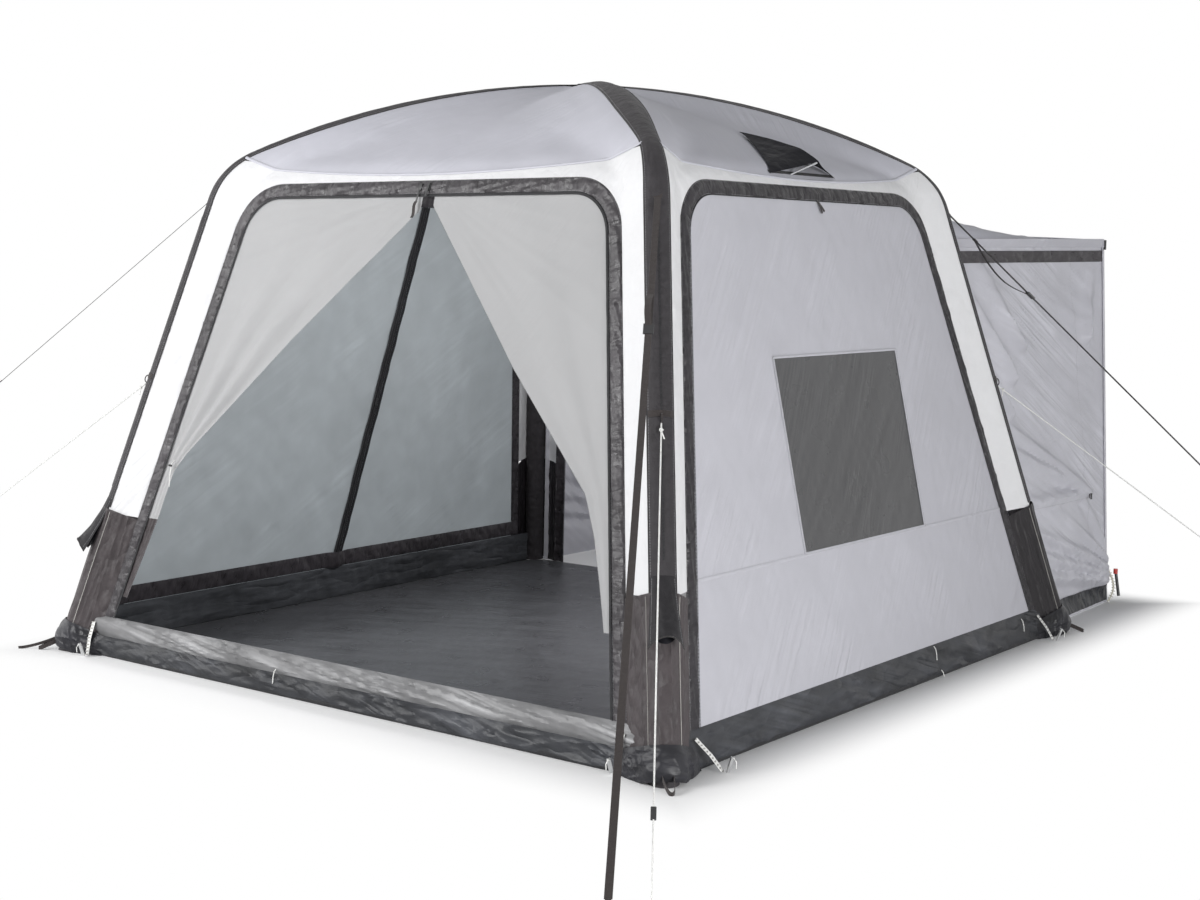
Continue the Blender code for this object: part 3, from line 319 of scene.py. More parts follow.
def range_on(tree, value, low, high, start=0.0, end=1.0, **settings):
    """A value between low and high, brought to the same share of the way from start to end."""
    values = {"Value": value, "From Min": low, "From Max": high, "To Min": start, "To Max": end}
    return node(tree, "ShaderNodeMapRange", values, **settings).outputs["Result"]


def mix_on(tree, factor, first, second):
    return node(tree, "ShaderNodeMixShader", {"Fac": factor, 1: first, 2: second}).outputs["Shader"]


def new_material(name):
    """A material, its node tree, and the shader in it."""
    made = bpy.data.materials.new(name)
    made.use_nodes = True
    return made, made.node_tree, made.node_tree.nodes["Principled BSDF"]


def noise_on(tree, vector, scale, detail=4.0, roughness=0.55):
    values = {"Vector": vector, "Scale": scale, "Detail": detail, "Roughness": roughness}
    return node(tree, "ShaderNodeTexNoise", values).outputs["Fac"]


def folds_on(tree, vector, scale):
    """Crisp folds: a smooth noise with its middle value turned into a sharp line."""
    middle = math_on(tree, "SUBTRACT", noise_on(tree, vector, scale, 2.0, 0.4), 0.5)
    return math_on(tree, "ABSOLUTE", middle)


def ramp_on(tree, factor, stops):
    made = node(tree, "ShaderNodeValToRGB")
    while len(made.color_ramp.elements) < len(stops):
        made.color_ramp.elements.new(0.5)
    for element, (position, colour) in zip(made.color_ramp.elements, stops, strict=True):
        element.position = position
        element.color = (*colour, 1)
    link(tree, factor, made.inputs["Fac"])
    return made.outputs["Color"]


def bump_on(tree, height, strength, distance, below=None):
    made = node(tree, "ShaderNodeBump", {"Strength": strength, "Distance": distance, "Height": height})
    if below is not None:
        link(tree, below, made.inputs["Normal"])
    return made.outputs["Normal"]


def shade(colour, share):
    return tuple(min(1.0, c * share) for c in colour)


def weave_height(tree, vector, pitch):
    """Threads over and under each other, as two crossed waves."""
    values = {"Vector": vector, "Scale": 1.0 / pitch / 3.2}
    threads = [node(tree, "ShaderNodeTexWave", values, bands_direction=way).outputs["Fac"]
            for way in ("X", "Y")]
    return math_on(tree, "MAXIMUM", *threads)


def fabric(name, colour, rough=0.7, sheen=0.0, weave=0.0012, weave_strength=0.12, crinkle=0.0,
        crinkle_scale=14.0, stretch=(1, 1, 1), turn=0.0, mottle=0.05, through=0.0, coat=0.0,
        rough_spread=0.06, streak=0.0, crumple=0.0, crumple_scale=22.0, streak_turn=0.9, painted_fold_shade=0.0,
        gloss=0.2):
    """Cloth: colour that varies a little, a weave, crinkles, painted shade and highlight along its streak
    folds, and some light from behind where it is thin.
    """
    made, tree, shader = new_material(name)
    coords = node(tree, "ShaderNodeTexCoord").outputs
    turned = {"Vector": coords["UV"], "Scale": stretch, "Rotation": (0, 0, turn)}
    place = node(tree, "ShaderNodeMapping", turned).outputs["Vector"]
    wide = noise_on(tree, coords["Object"], 1.7, 3.0)
    fine = noise_on(tree, place, crinkle_scale, 4.0, 0.5)
    blend = math_on(tree, "MULTIPLY_ADD", fine, 0.45, math_on(tree, "MULTIPLY", wide, 0.55))
    tint = ramp_on(tree, blend, [(0.30, shade(colour, 1 - 1.6 * mottle)), (0.52, colour),
            (0.72, shade(colour, 1 + 1.6 * mottle))])
    dullness = range_on(tree, fine, 0.3, 0.7, max(0.05, rough - rough_spread),
            min(1.0, rough + rough_spread))
    link(tree, dullness, shader.inputs["Roughness"])
    shader.inputs["Specular IOR Level"].default_value = gloss
    normal = bump_on(tree, fine, min(1.0, crinkle), 0.012) if crinkle else None
    if streak:
        drawn_out = {"Vector": coords["UV"], "Scale": (1.1, 0.055, 1.0), "Rotation": (0, 0, streak_turn)}
        long = node(tree, "ShaderNodeMapping", drawn_out, vector_type="TEXTURE").outputs["Vector"]
        patch = range_on(tree, noise_on(tree, coords["UV"], 2.3, 2.0), 0.44, 0.62)
        lines = math_on(tree, "MULTIPLY", folds_on(tree, long, 1.3), patch)
        normal = bump_on(tree, lines, streak, 0.030, normal)
        # Painted shade and highlight: the colour is darker along the streak folds' lines and outside their
        # patches, and lighter between the lines.
        if painted_fold_shade:
            share = range_on(tree, lines, 0.0, 0.16, 1 - painted_fold_shade, 1 + painted_fold_shade)
            fold_shaded = node(tree, "ShaderNodeVectorMath", {0: tint, "Scale": share}, operation="SCALE")
            tint = fold_shaded.outputs["Vector"]
    if crumple:
        normal = bump_on(tree, folds_on(tree, place, crumple_scale), crumple, 0.040, normal)
    normal = bump_on(tree, weave_height(tree, coords["UV"], weave), weave_strength, weave / 3, normal)
    link(tree, tint, shader.inputs["Base Color"])
    link(tree, normal, shader.inputs["Normal"])
    shader.inputs["Sheen Weight"].default_value = sheen
    shader.inputs["Sheen Roughness"].default_value = 0.45
    shader.inputs["Coat Weight"].default_value = coat
    shader.inputs["Coat Roughness"].default_value = 0.35
    if through:
        back = node(tree, "ShaderNodeBsdfTranslucent", {"Color": tint})
        mixed = mix_on(tree, through, shader.outputs["BSDF"], back.outputs["BSDF"])
        link(tree, mixed, tree.nodes["Material Output"].inputs["Surface"])
    return made


def webbing(name, colour, pitch=0.0022):
    """Woven strap: ribs across, and a dull, worn face."""
    return fabric(name, colour, rough=0.82, sheen=0.25, weave=pitch, weave_strength=0.55, mottle=0.12,
            crinkle=0.25, crinkle_scale=60)


def moulded(name, colour, rough=0.42, metallic=0.0, wear=0.35):
    """Plastic or metal with a fine grain, a little unevenness and duller, lighter wear."""
    made, tree, shader = new_material(name)
    spot = node(tree, "ShaderNodeTexCoord").outputs["Object"]
    broad = noise_on(tree, spot, 35.0)
    fine = noise_on(tree, spot, 420.0, 3.0)
    tint = ramp_on(tree, broad,
            [(0.35, colour), (0.62, shade(colour, 1.15)), (0.80, shade(colour, 1 + wear))])
    dullness = range_on(tree, broad, 0.0, 1.0, max(0.05, rough - 0.10), rough + 0.16)
    link(tree, tint, shader.inputs["Base Color"])
    link(tree, dullness, shader.inputs["Roughness"])
    link(tree, bump_on(tree, fine, 0.18, 0.0006), shader.inputs["Normal"])
    shader.inputs["Metallic"].default_value = metallic
    return made


def seen_rays(tree):
    """1 for the rays that show something to the eye: straight, in a reflection or through cloth."""
    rays = node(tree, "ShaderNodeLightPath").outputs
    seen = math_on(tree, "MAXIMUM", rays["Is Camera Ray"], rays["Is Glossy Ray"])
    return math_on(tree, "MAXIMUM", seen, rays["Is Transmission Ray"])


# The studio floor's tone, how far from the shelter it turns white, and the shelter's middle and half size
FLOOR_TONE, FLOOR_FADE = 0.90, 0.34
FLOOR_AREA = (("X", 0.0, BASE_HALF_X), ("Y", 0.42, 1.93))


def studio_floor():
    """A pale floor that takes the object's shadow, and turns plain white a distance from its base."""
    made, tree, shader = new_material("studio_floor")
    shader.inputs["Base Color"].default_value = (FLOOR_TONE, FLOOR_TONE, FLOOR_TONE, 1)
    shader.inputs["Roughness"].default_value = 0.9
    shader.inputs["Specular IOR Level"].default_value = 0.1
    spot = node(tree, "ShaderNodeTexCoord").outputs["Object"]
    parts = node(tree, "ShaderNodeSeparateXYZ", {"Vector": spot}).outputs
    gaps = []
    for axis, middle, half in FLOOR_AREA:
        size = math_on(tree, "ABSOLUTE", math_on(tree, "SUBTRACT", parts[axis], middle))
        gaps.append(math_on(tree, "SUBTRACT", size, half))
    widest = math_on(tree, "MAXIMUM", *gaps)
    share = range_on(tree, widest, 0.0, FLOOR_FADE, interpolation_type="SMOOTHSTEP")
    white = math_on(tree, "MULTIPLY", share, seen_rays(tree))
    plain = node(tree, "ShaderNodeEmission").outputs["Emission"]
    mixed = mix_on(tree, white, shader.outputs["BSDF"], plain)
    link(tree, mixed, tree.nodes["Material Output"].inputs["Surface"])
    return made


# The streak tint in these looks is painted shade and highlight along the cloth's streak folds.
FABRICS = {
    "roof_grey": dict(colour=(0.590, 0.590, 0.645), rough=0.50, mottle=0.04, crinkle=0.25,
        crinkle_scale=5.0, streak=0.35, through=0.10, crumple=0.16, crumple_scale=4.0, painted_fold_shade=0.02,
        gloss=0.10),
    "white_cloth": dict(colour=(0.74, 0.74, 0.75), rough=0.52, mottle=0.02, crinkle=0.35,
        crinkle_scale=16.0, streak=0.4, through=0.08, crumple=0.25, crumple_scale=9.0),
    "wall_grey": dict(colour=(0.530, 0.528, 0.570), rough=0.46, mottle=0.03, crinkle=0.25,
        crinkle_scale=6.0, streak=0.60, through=0.14, crumple=0.10, crumple_scale=5.0, painted_fold_shade=0.03),
    "tunnel_grey": dict(colour=(0.610, 0.608, 0.655), rough=0.38, mottle=0.05, crinkle=0.6,
        crinkle_scale=9.0, streak=0.8, through=0.16, crumple=1.0, crumple_scale=3.2, streak_turn=-0.7,
        painted_fold_shade=0.07, gloss=0.3),
    "side_blue_grey": dict(colour=(0.480, 0.505, 0.520), rough=0.60, mottle=0.05, crinkle=0.12,
        crinkle_scale=9.0, streak=0.35, through=0.60, streak_turn=2.58, painted_fold_shade=0.03),
    "flap_grey": dict(colour=(0.520, 0.520, 0.525), rough=0.58, mottle=0.02, crinkle=0.15,
        crinkle_scale=8.0, streak=0.22, through=0.34),
    "band_black": dict(colour=(0.040, 0.036, 0.040), rough=0.38, mottle=0.35, crinkle=0.5,
        crinkle_scale=30.0, stretch=(0.6, 1.2, 1), coat=0.05, rough_spread=0.14, crumple=0.6,
        crumple_scale=11.0, gloss=0.3),
    "band_dark": dict(colour=(0.023, 0.021, 0.024), rough=0.42, mottle=0.40, crinkle=0.5,
        crinkle_scale=30.0, stretch=(0.6, 1.2, 1), coat=0.03, rough_spread=0.14, crumple=0.7,
        crumple_scale=11.0, gloss=0.25),
    "wrap_brown_grey": dict(colour=(0.056, 0.048, 0.050), rough=0.50, sheen=0.02, mottle=0.20, crinkle=0.7,
        crinkle_scale=20.0, stretch=(1.3, 0.8, 1), rough_spread=0.12, crumple=1.0, crumple_scale=9.0),
    "wrap_black": dict(colour=(0.020, 0.018, 0.020), rough=0.46, mottle=0.25, crinkle=0.5,
        crinkle_scale=26.0, stretch=(1.8, 0.5, 1), rough_spread=0.14, crumple=0.5, crumple_scale=11.0),
    "sleeve_grey": dict(colour=(0.042, 0.039, 0.042), rough=0.60, sheen=0.02, mottle=0.22, crinkle=0.5,
        crinkle_scale=34.0, weave=0.002, weave_strength=0.35, crumple=0.4, crumple_scale=11.0, gloss=0.15),
    "skirt_black": dict(colour=(0.044, 0.046, 0.052), rough=0.44, mottle=0.50, crinkle=0.5,
        crinkle_scale=12.0, stretch=(1.6, 0.6, 1), rough_spread=0.08, crumple=1.0, crumple_scale=6.0,
        turn=0.25, gloss=0.25, streak=0.8, streak_turn=1.25, painted_fold_shade=0.30),
    "boot_black": dict(colour=(0.020, 0.020, 0.024), rough=0.40, mottle=0.50, crinkle=0.5,
        crinkle_scale=16.0, stretch=(1.6, 0.6, 1), rough_spread=0.08, crumple=0.9, crumple_scale=8.0,
        gloss=0.25),
    "sill_silver": dict(colour=(0.300, 0.300, 0.306), rough=0.42, mottle=0.20, crinkle=0.15,
        crinkle_scale=14.0, rough_spread=0.06, streak=0.9, streak_turn=1.40, painted_fold_shade=0.45, gloss=0.35),
    "edge_grey": dict(colour=(0.060, 0.063, 0.069), rough=0.34, mottle=0.30, crinkle=0.3,
        crinkle_scale=16.0, stretch=(1.8, 0.5, 1), crumple=0.8, crumple_scale=6.0, coat=0.15),
    "floor_black": dict(colour=(0.083, 0.084, 0.091), rough=0.34, mottle=0.10, crinkle=0.45,
        crinkle_scale=7.0, coat=0.10, rough_spread=0.10, crumple=0.16, crumple_scale=3.5, streak=0.2,
        streak_turn=0.3, gloss=0.35),
    "vent_black": dict(colour=(0.010, 0.010, 0.013), rough=0.50, mottle=0.12, crinkle=0.4,
        crinkle_scale=24.0, crumple=0.3, crumple_scale=10.0, gloss=0.06),
    "hood_black": dict(colour=(0.022, 0.021, 0.023), rough=0.52, mottle=0.25, crinkle=0.5,
        crinkle_scale=30.0, crumple=0.4, crumple_scale=12.0, gloss=0.12),
    "zip_black": dict(colour=(0.018, 0.018, 0.020), rough=0.62, sheen=0.15, mottle=0.2, weave=0.0016,
        weave_strength=0.5),
    "window_smoke": dict(colour=(0.074, 0.074, 0.076), rough=0.30, mottle=0.06, streak=0.4, streak_turn=1.0,
        weave=0.0022, weave_strength=0.25, crinkle=0.3, crinkle_scale=7.0),
}
WEBBINGS = {
    "strap_black": dict(colour=(0.038, 0.032, 0.031)),
    "tape_grey": dict(colour=(0.360, 0.350, 0.330), pitch=0.0016),
    "cord_white": dict(colour=(0.780, 0.780, 0.760), pitch=0.0030),
    "tape_cream": dict(colour=(0.640, 0.610, 0.480), pitch=0.0016),
    "thread_grey": dict(colour=(0.300, 0.300, 0.310), pitch=0.0012),
    "thread_black": dict(colour=(0.030, 0.028, 0.028), pitch=0.0012),
}
MOULDINGS = {
    "black_plastic": dict(colour=(0.016, 0.016, 0.017)),
    "stay_grey": dict(colour=(0.420, 0.425, 0.440), rough=0.48),
    "tube_clear_grey": dict(colour=(0.560, 0.575, 0.590), rough=0.34),
    "red_plastic": dict(colour=(0.420, 0.030, 0.022), rough=0.38),
    "steel": dict(colour=(0.580, 0.585, 0.590), rough=0.30, metallic=1.0, wear=0.1),
}
PAINT = {name: fabric(name, **look) for name, look in FABRICS.items()}
PAINT |= {name: webbing(name, **look) for name, look in WEBBINGS.items()}
PAINT |= {name: moulded(name, **look) for name, look in MOULDINGS.items()}


# Making pieces


def finished(name, mesh, paint, body="shelter", instead_of=()):
    """A named piece with its paint, riding on a body, in place of the CAD nodes that it stands for."""
    made = new_object(name, mesh)
    if not made.data.materials:
        made.data.materials.append(PAINT[paint])
    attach(made, body)
    if instead_of:
        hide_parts(*instead_of)
    return made


def shell_mesh(name, fronts, backs, faces, marks):
    """A closed thin mesh from two layers of points, a list of faces and each point's (u, w) mark."""
    count = len(fronts)
    uses = {}
    for face in faces:
        for i, a in enumerate(face):
            b = face[(i + 1) % len(face)]
            uses[(a, b)] = uses.get((a, b), 0) + 1
    rim = [(a, b) for a, b in uses if (b, a) not in uses]
    polygons = [list(face) for face in faces]
    polygons += [[count + v for v in reversed(face)] for face in faces]
    polygons += [[b, a, count + a, count + b] for a, b in rim]
    mesh = bpy.data.meshes.new(name)
    mesh.from_pydata([tuple(p) for p in fronts] + [tuple(p) for p in backs], [], polygons)
    layer = mesh.uv_layers.new(name="cloth")
    for loop in mesh.loops:
        layer.data[loop.index].uv = marks[loop.vertex_index % count]
    check = bmesh.new()
    check.from_mesh(mesh)
    bmesh.ops.recalc_face_normals(check, faces=check.faces[:])
    check.to_mesh(mesh)
    check.free()
    mesh.shade_smooth()
    mesh.set_sharp_from_angle(angle=math.radians(35))
    return mesh


def grid_faces(rows, columns):
    """The faces of a grid of points, stored row after row, with this many spaces along and across."""
    row = columns + 1
    return [(i * row + k, i * row + k + 1, (i + 1) * row + k + 1, (i + 1) * row + k)
            for i in range(rows) for k in range(columns)]


def even_steps(lengths, count):
    """Even steps along a line of known lengths: a part of the line, the share of it, and the way so far."""
    k = 0
    for i in range(count + 1):
        goal = lengths[-1] * i / count
        while k < len(lengths) - 2 and lengths[k + 1] < goal:
            k += 1
        yield k, (goal - lengths[k]) / max(lengths[k + 1] - lengths[k], 1e-9), goal


def spaced(outline, step):
    """The closed outline with extra points, no further apart than a step."""
    points = []
    for i, here in enumerate(outline):
        there = outline[(i + 1) % len(outline)]
        parts = max(1, math.ceil(math.dist(here, there) / step - 0.2))
        points += [(here[0] + (there[0] - here[0]) * k / parts, here[1] + (there[1] - here[1]) * k / parts)
                for k in range(parts)]
    return points


def nearest_edge(points, outline):
    """For each point, its distance from the outline."""
    p = np.array(points)[:, None, :]
    a = np.array(outline)[None, :, :]
    b = np.roll(np.array(outline), -1, axis=0)[None, :, :]
    along = b - a
    share = np.clip(((p - a) * along).sum(2) / np.maximum((along**2).sum(2), 1e-12), 0, 1)
    return np.sqrt((((a + along * share[..., None]) - p) ** 2).sum(2)).min(1)


def inside(points, outline):
    """Which points lie inside the outline, by crossings of a level ray."""
    x, y = np.array(points).T
    hits = np.zeros(len(points), bool)
    for i, (x0, y0) in enumerate(outline):
        x1, y1 = outline[(i + 1) % len(outline)]
        if y0 == y1:
            continue
        hits ^= ((y0 > y) != (y1 > y)) & (x < (x1 - x0) * (y - y0) / (y1 - y0) + x0)
    return hits


def flat_pattern(outline, step):
    """Points and triangles that fill a pattern, its border points first."""
    border = spaced(outline, step)
    low, high = np.min(border, axis=0), np.max(border, axis=0)
    rows = np.arange(low[1] + step / 2, high[1], step * 0.87)
    grid = [(x + (step / 2 if k % 2 else 0), y) for k, y in enumerate(rows)
            for x in np.arange(low[0] + step / 2, high[0], step)]
    if grid:
        keep = inside(grid, border) & (nearest_edge(grid, border) > 0.45 * step)
        grid = [point for point, kept in zip(grid, keep, strict=True) if kept]
    points = [Vector(p) for p in border] + [Vector(p) for p in grid]
    edges = [(i, (i + 1) % len(border)) for i in range(len(border))]
    verts, _, faces, *_ = delaunay_2d_cdt(points, edges, [list(range(len(border)))], 1, 1e-6)
    return [tuple(v) for v in verts], faces, border


def noise_at(*spot):
    return noise.noise(Vector(spot))


def crest_at(*spot):
    """Noise with its middle value turned into a ridge: 0 to 1."""
    return 1 - abs(noise_at(*spot))


def waves(u, w, angle, across, along, seed):
    """Smooth noise drawn out along a direction: -1 to 1."""
    a = -u * math.sin(angle) + w * math.cos(angle)
    b = u * math.cos(angle) + w * math.sin(angle)
    return noise_at(a / across, b / along, seed)


def creases(u, w, angle, across, along, seed):
    """Sharp-backed folds drawn out along a direction: 0 to 1."""
    return (1 - abs(waves(u, w, angle, across, along, seed))) ** 5


def cloth(name, wall, outline, paint, instead_of=(), step=0.03, lift=None, thickness=0.0012, fade=0.05):
    """A cloth piece on a wall or roof, made as a thin shell over its flat pattern. Its wrinkles fade to its
    seams.
    """
    points, faces, border = flat_pattern(outline, step)
    distances = nearest_edge(points, border)
    fronts, backs = [], []
    for (u, w), distance in zip(points, distances, strict=True):
        height = lift(u, w) * ease(distance / fade)
        fronts.append(wall.skin(u, w, height + thickness / 2))
        backs.append(wall.skin(u, w, height - thickness / 2))
    mesh = shell_mesh(name, fronts, backs, faces, points)
    made = finished(name, mesh, paint, instead_of=instead_of)


def between(a, b, share):
    return a[0] + (b[0] - a[0]) * share, a[1] + (b[1] - a[1]) * share


def strip(name, wall, line_out, line_in, paint, slot, instead_of=(), columns=4, step=0.02, lift=None,
        out=0.0, on_skin=False):
    """A long strip between two matching lines of pattern points, with crinkles across it."""
    lengths = [0.0]
    for a, b in zip(line_out, line_out[1:], strict=False):
        lengths.append(lengths[-1] + math.dist(a, b))
    total = lengths[-1]
    count = max(2, int(total / step))
    put = wall.skin if on_skin else wall.place
    fronts, backs, marks = [], [], []
    for k, share, goal in even_steps(lengths, count):
        a, b = between(line_out[k], line_out[k + 1], share), between(line_in[k], line_in[k + 1], share)
        for j in range(columns + 1):
            t = j / columns
            height = lift(goal, t) if lift else 0.0
            fronts.append(put(*between(a, b, t), out + height + STRIP_THICKNESS / 2))
            backs.append(put(*between(a, b, t), out + height - STRIP_THICKNESS / 2))
            marks.append((math.dist(a, b) * t, goal))
    mesh = shell_mesh(name, fronts, backs, grid_faces(count, columns), marks)
    made = finished(name, mesh, paint, instead_of=instead_of)


# Pattern lines


def round_corners(points, radii, steps=14):
    made = []
    for i, point in enumerate(points):
        here = Vector(point)
        if not radii[i]:
            made.append(tuple(here))
            continue
        before = (Vector(points[i - 1]) - here).normalized()
        after = (Vector(points[i + 1]) - here).normalized()
        half_angle = before.angle(after) / 2
        centre = here + (before + after).normalized() * radii[i] / math.sin(half_angle)
        first = here + before * radii[i] / math.tan(half_angle) - centre
        last = here + after * radii[i] / math.tan(half_angle) - centre
        bend = first.angle_signed(last)
        made += [tuple(centre + Matrix.Rotation(-bend * k / steps, 2) @ first) for k in range(steps + 1)]
    return made


def frame_line(wall, inset, top, radius, bottom):
    foot, head = wall.pole(bottom) - inset, wall.pole(top) - inset
    return round_corners([(-foot, bottom), (-head, top), (head, top), (foot, bottom)],
            [0, radius, radius, 0])


def band_line(wall, shift, bottom):
    """The line of the zip band's outer edge, moved inwards by a shift."""
    return frame_line(wall, SURROUND_WIDTH + shift, wall.band_top - shift, BAND_RADIUS - shift, bottom)


def level_line(reach, level, count=60):
    """A level line from one end of a wall to the other, as far from its middle as a reach."""
    return [(-reach + 2 * reach * i / count, level) for i in range(count + 1)]


def seam_line(wall, steps=40):
    reach = wall.skin_end(wall.seam_corner)
    line = []
    for i in range(steps + 1):
        share = 2 * i / steps - 1
        level = wall.seam_middle + (wall.seam_corner - wall.seam_middle) * share**2
        line.append((reach * share, level))
    return line


def side_run(wall, low, high, count=14):
    """The outer cloth's edge beside an arch, upwards."""
    levels = [low + (high - low) * i / count for i in range(count + 1)]
    return [(wall.skin_end(level), level) for level in levels]


# Where the white surround ends above each foot, as a level
WHITE_ENDS = {"front_right": 0.565, "front_left": 0.575, "rear_right": 0.575, "rear_left": 0.575}
WALL_CORNERS = {
    "front": ("front_left", "front_right"),
    "right": ("front_right", "rear_right"),
    "rear": ("rear_right", "rear_left"),
    "left": ("rear_left", "front_left"),
}


# The cabin's cloth


def make_surround(side):
    wall = WALLS[side]
    left_end, right_end = (WHITE_ENDS[corner] for corner in WALL_CORNERS[side])
    inner = band_line(wall, 0.0, 0.4)
    inner[0] = (-(wall.pole(left_end) - SURROUND_WIDTH), left_end)
    inner[-1] = (wall.pole(right_end) - SURROUND_WIDTH, right_end)
    left = [(-u, w) for u, w in side_run(wall, left_end, wall.seam_corner - 0.01)]
    right = side_run(wall, right_end, wall.seam_corner - 0.01)[::-1]
    outline = left + seam_line(wall)[1:-1] + right + inner[::-1]

    def lift(u, w):
        pull = creases(u, w, 0.2 + 0.5 * (u > 0), 0.035, 0.22, 3.1)
        return 0.0035 * pull - 0.0012 + 0.002 * waves(u, w, 1.2, 0.10, 0.30, 9.0)

    cloth(f"white_surround_{side}", wall, outline, "white_cloth", (f"wall_surround_{side}",),
          step=0.022, lift=lift, fade=0.03)


def make_band(side):
    wall = WALLS[side]
    bottom = {"rear": 0.0, "front": SILL_TOP}.get(side, SKIRT_HEIGHT)
    outer, inner = band_line(wall, 0.0, bottom), band_line(wall, BAND_WIDTH, bottom)

    def lift(along, t):
        swell = math.sin(math.pi * t) * 0.0035
        pucker = noise_at(along * 17, t * 1.8, 4.0) * 0.0034
        slant = crest_at(along * 10 + t * 3.0, t * 0.8, 8.0) ** 4 * 0.0052
        return (swell + pucker + slant) * ease(min(t, 1 - t) / 0.12)

    paint = "band_dark" if side == "right" else "band_black"
    strip(f"zip_cover_{side}", wall, outer, inner, paint, "band_cloth", (f"zip_band_{side}",), columns=9,
          step=0.012, lift=lift)
    make_coil(f"zip_coil_{side}", wall, inner, 0.0015)
    if side == "front":
        hem = band_line(wall, BAND_WIDTH + 0.009, bottom)
        strip("zip_tape_front", wall, inner, hem, "zip_black", "zip_tape", columns=3, out=0.0044,
              lift=lambda along, t: 0.0012 * noise_at(along * 14, t, 4))
    for shift, name in ((0.0035, "outer"), (BAND_WIDTH - 0.004, "inner")):
        line = band_line(wall, shift, bottom + 0.004)
        make_stitches(f"stitches_band_{side}_{name}", wall, line, 0.0026)


def world_line(wall, line, out):
    return [wall.skin(u, w, out) for u, w in line]


# Geometry Nodes: one small shape repeated along a path


BLOCK_SIZES = ("Spacing", "Length", "Width", "Height")


def repeat_tree(name):
    """A tree that sets small blocks along a path, turned to follow it, and its inputs by label."""
    tree = bpy.data.node_groups.new(name, "GeometryNodeTree")
    face = tree.interface
    face.new_socket("Geometry", in_out="INPUT", socket_type="NodeSocketGeometry")
    inputs = {}
    for label in BLOCK_SIZES:
        inputs[label] = face.new_socket(label, in_out="INPUT", socket_type="NodeSocketFloat").identifier
    inputs["Finish"] = face.new_socket("Finish", in_out="INPUT", socket_type="NodeSocketMaterial").identifier
    face.new_socket("Geometry", in_out="OUTPUT", socket_type="NodeSocketGeometry")
    entry = node(tree, "NodeGroupInput").outputs
    curve = node(tree, "GeometryNodeMeshToCurve", {"Mesh": entry["Geometry"]}).outputs["Curve"]
    spots = node(tree, "GeometryNodeCurveToPoints", {"Curve": curve, "Length": entry["Spacing"]},
            mode="LENGTH")
    size = node(tree, "ShaderNodeCombineXYZ",
            {"X": entry["Width"], "Y": entry["Height"], "Z": entry["Length"]})
    block = node(tree, "GeometryNodeMeshCube", {"Size": size.outputs["Vector"]}).outputs["Mesh"]
    placing = {"Points": spots.outputs["Points"], "Instance": block, "Rotation": spots.outputs["Rotation"]}
    put = node(tree, "GeometryNodeInstanceOnPoints", placing).outputs["Instances"]
    real = node(tree, "GeometryNodeRealizeInstances", {"Geometry": put}).outputs["Geometry"]
    finish = node(tree, "GeometryNodeSetMaterial", {"Geometry": real, "Material": entry["Finish"]})
    node(tree, "NodeGroupOutput", {"Geometry": finish.outputs["Geometry"]})
    return tree, inputs


REPEAT, REPEAT_INPUTS = repeat_tree("blocks_along_path")


def along_path(name, points, paint, sizes, body="shelter"):
    """Small blocks along a path of world points, as one plain mesh. sizes follows BLOCK_SIZES."""
    path = bpy.data.meshes.new(name + "_path")
    path.from_pydata([tuple(p) for p in points], [(i, i + 1) for i in range(len(points) - 1)], [])
    holder = new_object(name + "_path", path)
    change = holder.modifiers.new("repeat", "NODES")
    change.node_group = REPEAT
    for label, value in zip(BLOCK_SIZES, sizes, strict=True):
        change[REPEAT_INPUTS[label]] = value
    change[REPEAT_INPUTS["Finish"]] = PAINT[paint]
    bpy.context.view_layer.update()
    graph = bpy.context.evaluated_depsgraph_get()
    mesh = bpy.data.meshes.new_from_object(holder.evaluated_get(graph))
    mesh.name = name
    bpy.data.objects.remove(holder, do_unlink=True)
    return finished(name, mesh, paint, body=body)


def make_coil(name, wall, line, out):
    """A zip's closed coil: one row of blocks, as wide as its teeth, along a line."""
    along_path(name, world_line(wall, line, out + 0.0012), "zip_black", COIL_TOOTH)


def make_stitches(name, wall, line, out):
    along_path(name, world_line(wall, line, out), "thread_grey", STITCH)


def make_roof(side):
    wall = WALLS[side]
    seam = seam_line(wall)
    count = 22
    top = wall.levels[-1] - 0.055
    levels = [wall.seam_corner + (top - wall.seam_corner) * i / count for i in range(1, count + 1)]
    right = [(wall.skin_end(w), w) for w in levels if wall.skin_end(w) > 0.006]
    tip = (0.0, right[-1][1] + 0.004)
    outline = seam + right + [tip] + [(-u, w) for u, w in reversed(right)]

    def lift(u, w):
        reach = max(wall.skin_end(w), 0.05)
        fan = math.atan2(u, max(wall.levels[-1] - w, 0.02))
        rays = noise_at(fan * 5.5, (w - 2.0) * 0.9, 2.0 + len(side)) * 0.0045
        corner = creases(abs(u), w, 2.45, 0.05, 0.45, 1.5) * 0.004 * ease((abs(u) / reach - 0.35) / 0.5)
        return rays + corner - 0.008 * (1 - (u / reach) ** 2) * ease((w - wall.seam_middle) / 0.25)

    cloth(f"roof_cloth_{side}", wall, outline, "roof_grey", (f"roof_panel_{side}",), step=0.032,
          lift=lift, fade=0.05)
    hem = [(u * 0.998, w + 0.008) for u, w in seam]
    make_stitches(f"stitches_roof_{side}", wall, hem, 0.0016)
    strip(f"eave_welt_{side}", wall, [(u, w + 0.007) for u, w in seam], [(u, w - 0.004) for u, w in seam],
          "roof_grey", "roof_cloth", step=0.03, out=0.0026, on_skin=True,
          lift=lambda along, t: 0.0022 * math.sin(math.pi * t) + 0.0012 * noise_at(along * 18, t, 3))


def panel_lift(seed, slope):
    def lift(u, w):
        long = creases(u, w, slope, 0.055, 0.55, seed) * 0.0045
        cross = creases(u, w, slope + 1.0, 0.09, 0.40, seed + 5) * 0.0022
        broad = waves(u, w, slope, 0.35, 0.9, seed + 9) * 0.004
        return 1.5 * (long + cross + broad - 0.003)

    return lift


